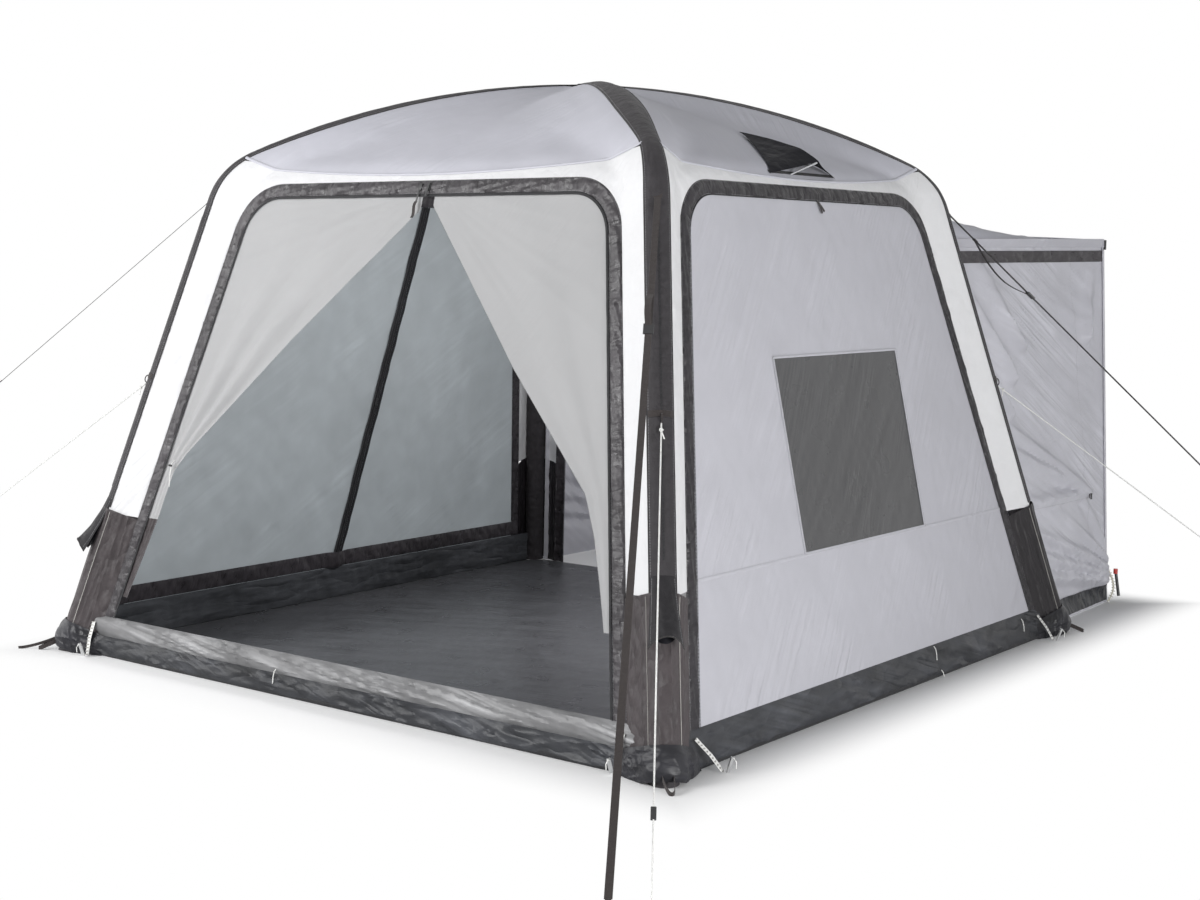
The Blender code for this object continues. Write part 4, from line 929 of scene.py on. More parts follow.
def make_right_panel():
    wall = WALLS["right"]
    frame_edge = band_line(wall, BAND_WIDTH, SKIRT_HEIGHT)
    start, end = WINDOW_OFFSET - WINDOW_WIDTH / 2, WINDOW_OFFSET + WINDOW_WIDTH / 2
    bottom, top = PANEL_SEAM, PANEL_SEAM + WINDOW_HEIGHT
    foot_u = wall.pole(bottom) - SURROUND_WIDTH - BAND_WIDTH
    window = [(start, bottom), (end, bottom), (end, top), (start, top)]
    upper = band_line(wall, BAND_WIDTH, bottom) + window[1:] + window[:1]
    low = [(frame_edge[0][0], SKIRT_HEIGHT), (frame_edge[-1][0], SKIRT_HEIGHT), (foot_u, bottom),
           (-foot_u, bottom)]
    for name, outline, seed, slope in (("upper", upper, 2.0, 0.95), ("lower", low, 12.0, 0.75)):
        cloth(f"right_panel_{name}", wall, outline, "wall_grey",
              (f"side_panel_right_{name}",), step=0.026, lift=panel_lift(seed, slope))
    cloth("window_film", wall, window, "window_smoke", ("window_film_right",), step=0.022,
          thickness=0.0010, fade=0.06,
          lift=lambda u, w: 0.0040 * creases(u, w, 0.75, 0.045, 0.6, 6.0) - 0.0015)
    shift = 0.006
    welts = (("bottom", 0, -shift), ("right", shift, 0), ("top", 0, shift), ("left", -shift, 0))
    for i, (name, du, dw) in enumerate(welts):
        a, b = window[i], window[(i + 1) % 4]
        path = [(a[0] + (b[0] - a[0]) * k / 30, a[1] + (b[1] - a[1]) * k / 30) for k in range(31)]
        inward = [(u - du * 0.8, w - dw * 0.8) for u, w in path]
        outward = [(u + du, w + dw) for u, w in path]
        strip(f"window_welt_{name}", wall, outward, inward, "wall_grey", "panel_cloth", out=0.0022,
              lift=lambda along, t: 0.0012 * math.sin(math.pi * t))
        make_stitches(f"stitches_window_{name}", wall, [(u + du * 0.55, w + dw * 0.55) for u, w in path],
                0.0042)
    run = level_line(foot_u, bottom - 0.004)
    strip("right_panel_seam", wall, [(u, w + 0.006) for u, w in run], [(u, w - 0.006) for u, w in run],
          "wall_grey", "panel_cloth", step=0.025, out=0.0022,
          lift=lambda along, t: 0.0010 * math.sin(math.pi * t) + 0.001 * noise_at(along * 14, t, 1))


def make_left_panel():
    wall = WALLS["left"]
    edge_line = band_line(wall, BAND_WIDTH, SKIRT_HEIGHT)
    head = wall.band_top - BAND_WIDTH
    run = [SKIRT_HEIGHT + (head - SKIRT_HEIGHT) * i / 80 for i in range(81)]

    def zip_line(shift):
        slope = (SIDE_ZIP_HEAD - SIDE_ZIP_FOOT) / (head - SKIRT_HEIGHT)
        return [(SIDE_ZIP_FOOT + slope * (w - SKIRT_HEIGHT) + shift, w) for w in run]

    half = SIDE_ZIP_WIDTH / 2
    start, end = zip_line(-half), zip_line(half)
    near = [p for p in edge_line if p[0] < SIDE_ZIP_HEAD - half or p == edge_line[0]] + [start[-1], start[0]]
    far = [end[0], end[-1]] + [p for p in edge_line if p[0] > SIDE_ZIP_HEAD + half]
    for name, outline, seed, slope in (("rear", near, 4.0, 0.85), ("front", far, 7.0, 0.75)):
        cloth(f"left_wall_{name}_half", wall, outline, "side_blue_grey",
              (f"side_door_left_{name}_half",), step=0.034, lift=panel_lift(seed, slope))
    strip("left_zip_tape", wall, start, end, "zip_black", "zip_tape", ("side_zip_left",), step=0.03,
          lift=lambda along, t: 0.0010 * noise_at(along * 9, t, 2))
    for out, name in ((0.0012, "outside"), (-0.0036, "inside")):
        make_coil(f"left_zip_coil_{name}", wall, zip_line(0.0), out)
    for hand, name in ((-1, "rear"), (1, "front")):
        hem = [(u + hand * 0.005 * noise_at(w * 7, hand, 3), w) for u, w in zip_line(hand * (half + 0.010))]
        strip(f"left_zip_edge_{name}", wall, zip_line(hand * (half - 0.003)), hem, "zip_black", "zip_tape",
              out=-0.0048, lift=lambda along, t: -0.003 * t * (1 + noise_at(along * 12, t, 6)))


# Door flaps, in the CAD's folds and finer ones


def along_edge(points, level):
    """How far from the door's middle a flap's free edge is at a level."""
    for (u0, w0), (u1, w1) in zip(points, points[1:], strict=False):
        if w1 <= level <= w0:
            return u0 + (u1 - u0) * (w0 - level) / (w0 - w1)
    return points[-1][0] if level < points[-1][1] else points[0][0]


def flap_border(wall, level):
    """How far from the door's middle a flap begins at a level: the zip band's inner edge."""
    inset = SURROUND_WIDTH + BAND_WIDTH + FLAP_CLEARANCE
    top = wall.band_top - BAND_WIDTH - FLAP_CLEARANCE
    radius = BAND_RADIUS - BAND_WIDTH - FLAP_CLEARANCE
    line = [p for p in frame_line(wall, inset, top, radius, SILL_TOP) if p[0] > 0]
    for (u0, w0), (u1, w1) in zip(line, line[1:], strict=False):
        if w1 <= level <= w0 and w0 > w1:
            return u0 + (u1 - u0) * (w0 - level) / (w0 - w1)
    return wall.pole(level) - inset


def make_flap(name, edge, hand, bottom, folds, seed, slack, dark_below=0.0):
    """A door flap with its folds. The part below a level is drawn dark."""
    wall = WALLS["front"]
    top = wall.band_top - BAND_WIDTH - FLAP_CLEARANCE
    rows, columns = 96, 56
    fronts, backs, marks = [], [], []
    for i in range(rows + 1):
        high = i / rows
        level = bottom + (top - bottom) * (1 - (1 - high) ** 1.3)
        border = hand * flap_border(wall, min(level, top - 1e-4))
        free = along_edge(edge, level)
        span = abs(free - border)
        fade = math.sin(math.pi * min(1.0, high)) ** 0.5
        width_fade = min(1.0, span / 0.30)
        for k in range(columns + 1):
            t = k / columns
            wave = math.cos(math.tau * folds * t) - 1
            depth = FLAP_FOLD_DEPTH * wave * fade * min(1.0, 3 * t) * width_fade * slack
            u = border + (free - border) * t
            fan = math.atan2(abs(u - edge[0][0]) + 0.02, max(top + 0.03 - level, 0.02))
            fine = noise_at(fan * 13, (top - level) * 0.8, seed) * 0.0030
            fine += crest_at(fan * 8, (top - level) * 0.5, seed + 3) ** 6 * 0.0045
            depth += slack * (fine - 0.002) * ease(t / 0.12) * ease(high / 0.05) * ease((1 - high) / 0.06)
            fronts.append(wall.place(u, level, depth + 0.0006))
            backs.append(wall.place(u, level, depth - 0.0006))
            marks.append((u, level))
    mesh = shell_mesh(name, fronts, backs, grid_faces(rows, columns), marks)
    made = finished(name, mesh, "flap_grey", instead_of=(f"door_{name}",))
    mesh.materials.append(PAINT["wrap_brown_grey"])
    for polygon in mesh.polygons:
        heights = [marks[v % len(marks)][1] for v in polygon.vertices]
        polygon.material_index = int(sum(heights) / len(heights) < dark_below)
    samples = 60
    for i in range(samples):
        level = bottom + (top - bottom) * (i + 0.5) / samples
        abs(along_edge(edge, level) - hand * flap_border(wall, level))
    hem = [i * (columns + 1) + columns for i in range(rows + 1)]
    path = [(fronts[v] + backs[v]) / 2 + wall.outward(1.0) * 0.0012 for v in hem]
    along_path(f"stitches_{name}", path, "thread_grey", FLAP_STITCH)


# Ground pieces


def pleats(along, t, pitch, slope, seed):
    return crest_at(along / pitch + t * slope, t * 0.7, seed) ** 3


def make_skirt(side, top):
    wall = WALLS[side]
    lines = [level_line(wall.edge(level) - 0.001, level) for level in (top, 0.0012)]

    def lift(along, t):
        patch = ease(0.5 + 2.0 * noise_at(along * 2.6, t * 1.5, 5.0))
        fold = pleats(along, t, 0.17, -2.8, 2.0) * 0.013 * patch
        fold += pleats(along, t, 0.26, 1.3, 7.0) * 0.008 * (1 - 0.6 * patch)
        return (fold + 0.004 * math.sin(math.pi * t)) * ease(t / 0.2) * ease((1 - t) / 0.15)

    strip(f"skirt_{side}", wall, *lines, "skirt_black", "ground_cloth", (f"mud_skirt_{side}",), columns=10,
          step=0.010, lift=lift)
    strip(f"skirt_hem_{side}", wall, [(u, 0.019) for u, _ in lines[1]], [(u, 0.003) for u, _ in lines[1]],
          "zip_black", "ground_cloth", out=0.0030,
          lift=lambda along, t: 0.002 * math.sin(math.pi * t) + 0.0015 * noise_at(along * 20, t, 5))


def make_sill():
    wall = WALLS["front"]
    lines = [level_line(wall.edge(level) - 0.001, level) for level in (SILL_TOP, SILL_BOTTOM)]

    def lift(along, t):
        roll = 0.010 * math.sin(math.pi * t)
        patch = 0.35 + 0.65 * ease(0.5 + 1.6 * noise_at(along * 2.2, t, 9.0))
        twist = pleats(along, t, 0.16, -4.6, 3.0) * 0.010 * patch + pleats(along, t, 0.30, -2.6, 6.0) * 0.006
        return roll + twist * ease(t / 0.15) * ease((1 - t) / 0.15)

    strip("sill_roll", wall, *lines, "sill_silver", "sill_cloth", ("door_sill",), columns=12, step=0.009,
          lift=lift)


def make_floor():
    _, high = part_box("groundsheet")
    half_x, half_y = high[0] - 0.0005, high[1] - 0.0005
    cut = 0.080
    outline = []
    for side_x, side_y in ((1, -1), (1, 1), (-1, 1), (-1, -1)):
        pair = [(side_x * (BASE_HALF_X - cut), side_y * half_y),
                (side_x * half_x, side_y * (BASE_HALF_Y - cut))]
        outline += pair if side_x * side_y < 0 else pair[::-1]
    points, faces, border = flat_pattern(outline, 0.034)
    distances = nearest_edge(points, border)
    fronts, backs = [], []
    for (x, y), distance in zip(points, distances, strict=True):
        rise = 0.0045 * creases(x, y, 0.5, 0.10, 0.6, 1.0) + 0.003 * creases(x, y, 2.1, 0.08, 0.5, 4.0)
        rise *= ease(distance / 0.06)
        fronts.append(Vector((x, y, 0.0016 + rise)))
        backs.append(Vector((x, y, 0.0002)))
    mesh = shell_mesh("floor_sheet", fronts, backs, faces, points)
    made = finished("floor_sheet", mesh, "floor_black", instead_of=("groundsheet",))


def make_floor_edge(side):
    """Inside a side wall: the floor's turned-up edge, and above it the black band that it is sewn to."""
    wall = WALLS[side]
    band = [level_line(wall.edge(level) - (SURROUND_WIDTH - 0.03), level) for level in (0.245, 0.168)]
    turned_up = [level_line(wall.edge(level) - 0.02, level) for level in (0.165, 0.006)]

    def lift(along, t):
        return -0.006 * pleats(along, t, 0.06, 1.0, 4.0) * ease(t / 0.2) * ease((1 - t) / 0.2)

    def cloth_lift(along, t):
        return lift(along, t) - 0.0075 * (1 - ease(t / 0.45))

    strip(f"floor_edge_cloth_{side}", wall, *turned_up, "edge_grey", "ground_cloth", (f"floor_edge_{side}",),
          columns=8, step=0.014, out=-0.0034, lift=cloth_lift)
    start = band[0][0][0]

    def band_lift(along, t):
        room = 0.014 * math.exp(-((start + along - SIDE_ZIP_FOOT) / 0.040) ** 2) if side == "left" else 0.0
        return lift(along, t) - room

    strip(f"floor_edge_band_{side}", wall, *band, "band_black", "band_cloth", columns=6, step=0.012,
          out=-0.0120, lift=band_lift)


# The outer cloth's section across an arch


SIDE_ORDER = {"front_right": ("front", "right"), "rear_left": ("left", "rear"),
        "front_left": ("left", "front"), "rear_right": ("rear", "right")}


def section(corner, centre, along, level, edge, extra, count):
    """Points of the outer cloth across an arch, an even distance apart, from one wall over to the other.

    edge is how far from the arch's middle the section starts and ends, extra how far it lies above the skin.
    """
    sides = []
    for side in SIDE_ORDER[corner]:
        wall = WALLS[side]
        normal = wall.outward(level)
        normal = (normal - along * normal.dot(along)).normalized()
        into = normal.cross(along).normalized()
        towards_middle = wall.across() * (-1 if WALL_CORNERS[side][1] == corner else 1)
        if into.dot(towards_middle) < 0:
            into = -into
        sides.append((wall, normal, into))
    line = []
    starts = []
    for wall, normal, into in sides:
        flank = []
        for k in range(13):
            distance = edge * (1 - k / 12)
            height = wall.skin_height(distance, level)
            bend = math.atan2(distance, height)
            flank.append(centre + into * distance + normal * (height + extra))
            if height**2 + distance**2 <= (SKIN_RADIUS + 1e-4) ** 2:
                break
        starts.append(into * math.sin(bend) + normal * math.cos(bend))
        line.append(flank)
    first, last = starts
    turn = first.angle(last)
    axis = first.cross(last).normalized()
    arc = [centre + (Matrix.Rotation(turn * k / 24, 3, axis) @ first) * (SKIN_RADIUS + extra)
           for k in range(1, 24)]
    route = line[0] + arc + line[1][::-1]
    lengths = [0.0]
    for a, b in zip(route, route[1:], strict=False):
        lengths.append(lengths[-1] + (b - a).length)
    return [route[k].lerp(route[k + 1], share) for k, share, _ in even_steps(lengths, count)], lengths[-1]


def way_out(line, k, along, out):
    """The direction away from an arch's middle at a point of the cloth's section across it."""
    normal = (line[min(k + 1, len(line) - 1)] - line[max(k - 1, 0)]).cross(along).normalized()
    return -normal if normal.dot(out) < 0 else normal


def keep_above_ground(*layers):
    for layer in layers:
        for point in layer:
            point.z = max(point.z, GROUND_CLEARANCE)


def make_leg_wrap(corner):
    """The dark cloth at a foot, from one wall's zip band round the outside of the leg to the next wall's."""
    end = WHITE_ENDS[corner] + 0.014
    rows, columns = 64, 88
    fronts, backs, marks = [], [], []
    wall = WALLS[SIDE_ORDER[corner][0]]
    seed = len(corner)
    for i in range(rows + 1):
        level = 0.002 + (end - 0.002) * i / rows
        z = wall.place(0, level).z
        centre, out, along = pole_spot(corner, z)
        inner, width = section(corner, centre, along, level, LEG_REACH - 0.001, 0.0, columns)
        for k, point in enumerate(inner):
            reach = width * k / columns
            normal = way_out(inner, k, along, out)
            middle = ease(min(k, columns - k) / 10)
            over_white = 0.0018 * ease((i - rows + 4) / 3)
            fold = crest_at(reach * 30, z * 1.6, seed) ** 4 * 0.006
            fold += noise_at(reach * 70, z * 5, seed + 2.0) * 0.0015
            shift = normal * (fold * middle + 0.0012 + over_white)
            fronts.append(point + shift + normal * 0.0008)
            backs.append(point + shift - normal * 0.0008)
            marks.append((reach, level))
    row = columns + 1
    keep_above_ground(fronts, backs)
    name = f"leg_wrap_{corner}"
    mesh = shell_mesh(name, fronts, backs, grid_faces(rows, columns), marks)
    paint = "wrap_black" if corner.startswith("rear") else "wrap_brown_grey"
    made = finished(name, mesh, paint)
    hem = [fronts[(rows - 1) * row + j] for j in range(row)]
    along_path(f"stitches_{name}", hem, "thread_black", SMALL_STITCH)
    for share, label in ((0.33, "a"), (0.67, "b")):
        seam = [fronts[i * row + int(columns * share)] for i in range(6, rows)]
        tube(f"wrap_piping_{corner}_{label}", seam, 0.0017, "tape_grey", sides=6)


def make_boot(corner):
    """The shiny skirt cloth that is gathered round a foot, from a little way along one wall to the next."""
    rows, columns = 30, 132
    fronts, backs, marks = [], [], []
    wall = WALLS[SIDE_ORDER[corner][0]]
    for i in range(rows + 1):
        share = i / rows
        level = 0.0015 + 0.112 * share
        centre, out, along = pole_spot(corner, wall.place(0, level).z)
        inner, width = section(corner, centre, along, level, LEG_REACH + 0.055, 0.0, columns)
        swell = 0.005 + 0.012 * math.sin(math.pi * (0.12 + 0.80 * share))
        for k, point in enumerate(inner):
            normal = way_out(inner, k, along, out)
            middle = ease(min(k, columns - k) / 16)
            reach = width * k / columns
            fold = crest_at(reach * 26 + share * 1.6, share * 1.3, 3.0 + len(corner)) ** 3
            fold += 0.8 * crest_at(reach * 9, share * 3.4 - reach * 5, 8.0) ** 5
            high = 0.0016 + (swell + fold * 0.009 * math.sin(math.pi * (0.1 + 0.85 * share))) * middle
            fronts.append(point + normal * (high + 0.0008))
            backs.append(point + normal * (high - 0.0008))
            marks.append((level, reach))
    keep_above_ground(fronts, backs)
    mesh = shell_mesh(f"foot_boot_{corner}", fronts, backs, grid_faces(rows, columns), marks)
    made = finished(f"foot_boot_{corner}", mesh, "boot_black")


def make_arch_strip(start, end, over):
    """The dark strip over an arch, from one foot's wrap over the top to the other's, with its two seams."""
    columns = 30
    fronts, backs, marks = [], [], []
    travel = 0.0
    previous = None
    halves = []
    for corner in (start, end):
        wall = WALLS[SIDE_ORDER[corner][0]]
        line = arch_middle(corner)
        low = wall.place(0, WHITE_ENDS[corner] - 0.004).z
        spots = []
        for i, centre in enumerate(line):
            if centre.z < low:
                continue
            level = wall.levels[1] * i / LEG_STEPS if i <= LEG_STEPS else wall.levels[i - LEG_STEPS + 1]
            along = (line[min(i + 1, len(line) - 1)] - line[max(i - 1, 0)]).normalized()
            spots.append((corner, centre, along, level))
        halves.append(spots)
    for corner, centre, along, level in halves[0] + halves[1][-2::-1]:
        edge = WALLS[SIDE_ORDER[corner][0]].strip_edge(level)
        lift = 0.0022 + (0.004 if over > 0 else 0.0) * crossing(math.hypot(centre.x, centre.y))
        outer, width = section(corner, centre, along, level, edge, lift, columns)
        inner, _ = section(corner, centre, along, level, edge, lift - 0.0014, columns)
        travel += (centre - previous).length if previous is not None else 0.0
        previous = centre
        for k in range(columns + 1):
            fade = ease(min(k, columns - k) / 3)
            normal = (outer[k] - inner[k]).normalized()
            wrinkle = noise_at(k * 0.35, travel * 20, 1.0 + over) * 0.0012 * fade
            fronts.append(outer[k] + normal * wrinkle)
            backs.append(inner[k] + normal * wrinkle)
            marks.append((width * k / columns, travel))
    row = columns + 1
    count = len(fronts) // row
    mesh = shell_mesh(f"arch_strip_{start}", fronts, backs, grid_faces(count - 1, columns), marks)
    made = finished(f"arch_strip_{start}", mesh, "sleeve_grey")
    for label, edge, inner in (("left", 0, 2), ("right", columns, columns - 2)):
        tube(f"arch_piping_{start}_{label}", fronts[edge::row], 0.0017, "thread_black",
             sides=6)
        along_path(f"stitches_strip_{start}_{label}", fronts[inner::row], "thread_grey",
                STRIP_STITCH)


# Arches


def crossing(reach):
    return ease((CROSSING_FLAT + CROSSING_RAMP - reach) / CROSSING_RAMP)


def arch_middle(corner):
    """The middle of a pole from a corner's foot to the apex, close enough together to bend smoothly."""
    side_x, side_y = CORNERS[corner]
    line = [Vector((side_x * p[0], side_y * p[1], p[2])) for p in arch_line()]
    leg = [line[0].lerp(line[1], i / LEG_STEPS) for i in range(LEG_STEPS)]
    return leg + line[1:]


def sleeve_cloth(name, line, across, over, instead_of, leg=False):
    """A cloth sleeve round a pole's line, puckered a little. A leg's foot is cut flat on the ground."""
    sides = 40
    fronts, backs, marks = [], [], []
    length = 0.0
    for i, centre in enumerate(line):
        along = (line[min(i + 1, len(line) - 1)] - line[max(i - 1, 0)]).normalized()
        if i:
            length += (centre - line[i - 1]).length
        side = (across - along * across.dot(along)).normalized()
        away = along.cross(side)
        if away.z < 0:
            away = -away
        flat = 0.0 if leg else crossing(math.hypot(centre.x, centre.y))
        half_height = SLEEVE_RADIUS * (1 - flat / 2)
        lift = over * (SLEEVE_RADIUS / 2 + 0.0003) * flat
        for k in range(sides + 1):
            angle = math.tau * k / sides - math.pi / 2
            pucker = noise_at(math.cos(angle) * 1.6, math.sin(angle) * 1.6, length * 22) * 0.0012
            pucker += noise_at(angle * 3.0, length * 5, 2.0) * 0.0008 - 0.0004
            for layer, inset in ((fronts, 0.0004), (backs, 0.0018)):
                reach = pucker - inset
                point = (centre + away * (lift + (half_height + reach) * math.sin(angle))
                        + side * (SLEEVE_RADIUS + reach) * math.cos(angle))
                if leg and i == 0:
                    point = point + along * ((0.0005 - point.z) / along.z)
                layer.append(point)
            marks.append((angle * SLEEVE_RADIUS, length))
    mesh = shell_mesh(name, fronts, backs, grid_faces(len(line) - 1, sides), marks)
    made = finished(name, mesh, "sleeve_grey", instead_of=instead_of)


def make_arch(start, end, over):
    first, second = arch_middle(start), arch_middle(end)
    side_x, side_y = CORNERS[start]
    across = Vector((-side_y, side_x, 0)).normalized()
    for corner, line in ((start, first), (end, second)):
        sleeve_cloth(f"leg_cloth_{corner}", line[:LEG_STEPS + 1], across, over, (f"leg_sleeve_{corner}",),
                leg=True)
    roof = first[LEG_STEPS:] + second[-2:LEG_STEPS - 1:-1]
    sleeve_cloth(f"arch_cloth_{start}", roof, across, over, (f"roof_sleeve_{start}_to_{end}",))
    make_arch_strip(start, end, over)


def make_leg_zip(corner):
    """The zip that closes the sleeve over its air tube, up the outside of a leg."""
    low, high, steps = 0.66, 1.76, 160
    path = []
    for i in range(steps + 1):
        centre, out, _ = pole_spot(corner, low + (high - low) * i / steps)
        path.append(centre + out * (SLEEVE_RADIUS + 0.0044))
    along_path(f"leg_zip_{corner}", path, "zip_black", LEG_ZIP_TOOTH)


# Swept shapes


def closed_mesh(name, bm, sharp):
    """The mesh of a bmesh, with its faces turned outwards and smooth up to an angle."""
    bmesh.ops.recalc_face_normals(bm, faces=bm.faces[:])
    mesh = bpy.data.meshes.new(name)
    bm.to_mesh(mesh)
    bm.free()
    mesh.shade_smooth()
    mesh.set_sharp_from_angle(angle=math.radians(sharp))
    return mesh


def sweep(name, path, profile, paint, body="shelter", wide=None, instead_of=(), close=False):
    """A closed mesh from a profile of (across, up) points along a path. wide fixes its first axis."""
    bm = bmesh.new()
    layer = bm.loops.layers.uv.new("cloth")
    rings = []
    travel = 0.0
    ups = []
    previous = None
    for i, point in enumerate(path):
        ahead = path[(i + 1) % len(path)] if close else path[min(i + 1, len(path) - 1)]
        behind = path[i - 1] if close or i else path[0]
        along = (ahead - behind).normalized()
        if wide is not None:
            side = (wide - along * wide.dot(along)).normalized()
        else:
            guess = previous if previous is not None else along.orthogonal()
            side = (guess - along * guess.dot(along)).normalized()
        previous = side
        up = side.cross(along).normalized()
        if i:
            travel += (point - path[i - 1]).length
        ups.append(travel)
        rings.append([bm.verts.new(point + side * x + up * y) for x, y in profile])
    count = len(profile)
    for a in range(len(rings) if close else len(rings) - 1):
        b = (a + 1) % len(rings)
        for k in range(count):
            n = (k + 1) % count
            face = bm.faces.new((rings[a][k], rings[a][n], rings[b][n], rings[b][k]))
            spots = ((profile[k][0], ups[a]), (profile[n][0], ups[a]), (profile[n][0], ups[b]),
                    (profile[k][0], ups[b]))
            for loop, spot in zip(face.loops, spots, strict=True):
                loop[layer].uv = spot
    if not close:
        bm.faces.new(rings[0])
        bm.faces.new(rings[-1])
    return finished(name, closed_mesh(name, bm, 40), paint, body=body, instead_of=instead_of)


def round_profile(radius, sides=10):
    angles = [math.tau * k / sides for k in range(sides)]
    return [(radius * math.cos(angle), radius * math.sin(angle)) for angle in angles]


def flat_profile(width, thickness):
    """A strap's section: flat, with rounded, slightly raised edges."""
    half, rise, edge = width / 2, thickness / 2, width * 0.08
    face = rise * 0.8
    upper = [(half, 0), (half - edge * 0.3, face), (half - edge, rise), (half - 2 * edge, face), (0, face)]
    upper += [(-x, y) for x, y in reversed(upper[:-1])]
    return upper + [(x, -y) for x, y in reversed(upper[1:-1])]


STRAP_PROFILE = flat_profile(STRAP_WIDTH, STRAP_THICKNESS)


def tube(name, path, radius, paint, body="shelter", instead_of=(), close=False, sides=10):
    profile = round_profile(radius, sides)
    return sweep(name, path, profile, paint, body=body, instead_of=instead_of, close=close)


def tape(name, path, profile, wide, paint="strap_black", body="shelter", instead_of=()):
    """A strap or tape that lies flat across one direction."""
    return sweep(name, path, profile, paint, body=body, wide=wide, instead_of=instead_of)


def steps_between(points, gap=0.02):
    """The same route with a point every gap."""
    path = []
    for a, b in zip(points, points[1:], strict=False):
        parts = max(1, int((b - a).length / gap))
        path += [a.lerp(b, k / parts) for k in range(parts)]
    return path + [points[-1]]


def ring_path(centre, normal, radius, stretch=1.0, along=None):
    count = 36
    along = (along or normal.orthogonal()).normalized()
    side = normal.cross(along).normalized()
    return [centre + along * radius * stretch * math.cos(math.tau * k / count)
            + side * radius * math.sin(math.tau * k / count) for k in range(count)]


def blocks(name, parts, axes, paint, bevel=0.0012):
    """Several softened blocks as one mesh. Each part is (centre, size along the three axes)."""
    bm = bmesh.new()
    turn = Matrix([axis.normalized() for axis in axes]).transposed().to_4x4()
    for centre, size in parts:
        one = bmesh.new()
        bmesh.ops.create_cube(one, size=1, matrix=Matrix.Diagonal((*size, 1)))
        bmesh.ops.bevel(one, geom=one.edges[:], offset=min(bevel, min(size) * 0.3), segments=3,
                affect="EDGES", profile=0.5)
        one.transform(Matrix.Translation(centre) @ turn)
        holder = bpy.data.meshes.new("part")
        one.to_mesh(holder)
        one.free()
        bm.from_mesh(holder)
        bpy.data.meshes.remove(holder)
    return finished(name, closed_mesh(name, bm, 50), paint)


# Storm straps, guy cords and what is on them


def sleeve_face():
    return SLEEVE_RADIUS * math.cos(math.pi / 12)


def strap_span(corner):
    centre, out, _ = pole_spot(corner, SHOULDER_Z - STRAP_DROP)
    end = Vector(STRAP_ENDS[corner])
    along = (end - centre).normalized()
    wide = along.cross(UP).normalized()
    reach = abs(wide.dot(out)) * STRAP_WIDTH / 2 + STRAP_THICKNESS / 2
    start = centre + out * (sleeve_face() + 0.0003 + reach)
    along = (end - start).normalized()
    return start, end, along, along.cross(UP).normalized()


def make_strap(corner):
    """A taut webbing strap with a ring at its far end, sewn to the sleeve through a patch."""
    start, end, along, wide = strap_span(corner)
    face = wide.cross(along).normalized()
    path = steps_between([start, end], 0.03)
    ring = ring_path(end - along * 0.012, face, 0.011)
    pieces = [tube(f"strap_ring_{corner}", ring, 0.0018, "steel", close=True)]
    fold = [end - along * (0.018 + 0.07 * i / 12) + face * 0.0018 for i in range(13)]
    pieces.append(tape(f"strap_fold_{corner}", fold, STRAP_PROFILE, wide))
    if corner in ("front_right", "rear_right"):
        pieces.append(bpy.data.objects[f"strap_buckle_{corner}"])
    made = tape(f"strap_webbing_{corner}", path, STRAP_PROFILE, wide, instead_of=(f"storm_strap_{corner}",))
    blocks(f"strap_patch_{corner}", [(start - along * 0.004, (0.030, 0.026, 0.0030))], (wide, along, face),
           "strap_black", bevel=0.0010)


def make_strap_loop():
    """The slack part of the rear strap, which hangs from its sewn end to the buckle under the taut part."""
    start, end, along, wide = strap_span("rear_right")
    length = (end - start).length
    path = []
    for i in range(41):
        t = i / 40
        sag = 0.050 * math.sin(math.pi * t**0.85) ** 1.1
        twist = wide * 0.006 * math.sin(5 * t)
        path.append(start + along * length * (0.10 + 0.195 * t) - Vector((0, 0, 0.0035 + sag)) + twist)
    tape("strap_slack_rear_right", path, STRAP_PROFILE, wide)
    blocks("strap_bar_rear_right", [(start + along * length * 0.098, (0.026, 0.020, 0.0060))],
           (wide, along, wide.cross(along)), "strap_black")


def make_cord(corner):
    """A taut round cord with a knotted loop at its end, tied to a webbing bar on the leg."""
    centre, out, leg = pole_spot(corner, CORD_Z)
    start = centre + out * (sleeve_face() + 0.0003 + CORD_DIAMETER / 2)
    end = Vector(CORD_ENDS[corner])
    along = (end - start).normalized()
    path = steps_between([start, end], 0.02)
    pieces = [knot(f"cord_end_knot_{corner}", end - along * 0.010, along, 0.0052)]
    if corner == "front_right":
        pieces.append(bpy.data.objects["guy_slider_front_right"])
    pieces.append(knot(f"cord_knot_{corner}", start + along * 0.035, along, 0.0050))
    side = out.cross(leg).normalized()
    tail = [start + along * 0.035 + side * 0.004 + out * 0.003 * i / 6 - UP * 0.030 * (i / 6) ** 1.4
            - side * 0.014 * i / 6 for i in range(7)]
    pieces.append(tube(f"cord_tail_{corner}", tail, CORD_DIAMETER / 2 * 0.9, "cord_white"))
    made = tube(f"cord_line_{corner}", path, CORD_DIAMETER / 2, "cord_white", sides=14,
            instead_of=(f"guy_cord_{corner}",))
    bar = []
    for i in range(25):
        angle = math.radians(-48 + 96 * i / 24)
        turn = Matrix.Rotation(angle, 3, leg)
        bar.append(centre + (turn @ out) * (SLEEVE_RADIUS + 0.0060) + leg * 0.030)
    tape(f"leg_bar_{corner}", bar, flat_profile(0.022, 0.0022), leg)
    loop_centre = start + out * 0.004 + leg * 0.014
    tube(f"leg_loop_{corner}", ring_path(loop_centre, side, 0.010, 1.5, leg), 0.0022, "strap_black",
         close=True)


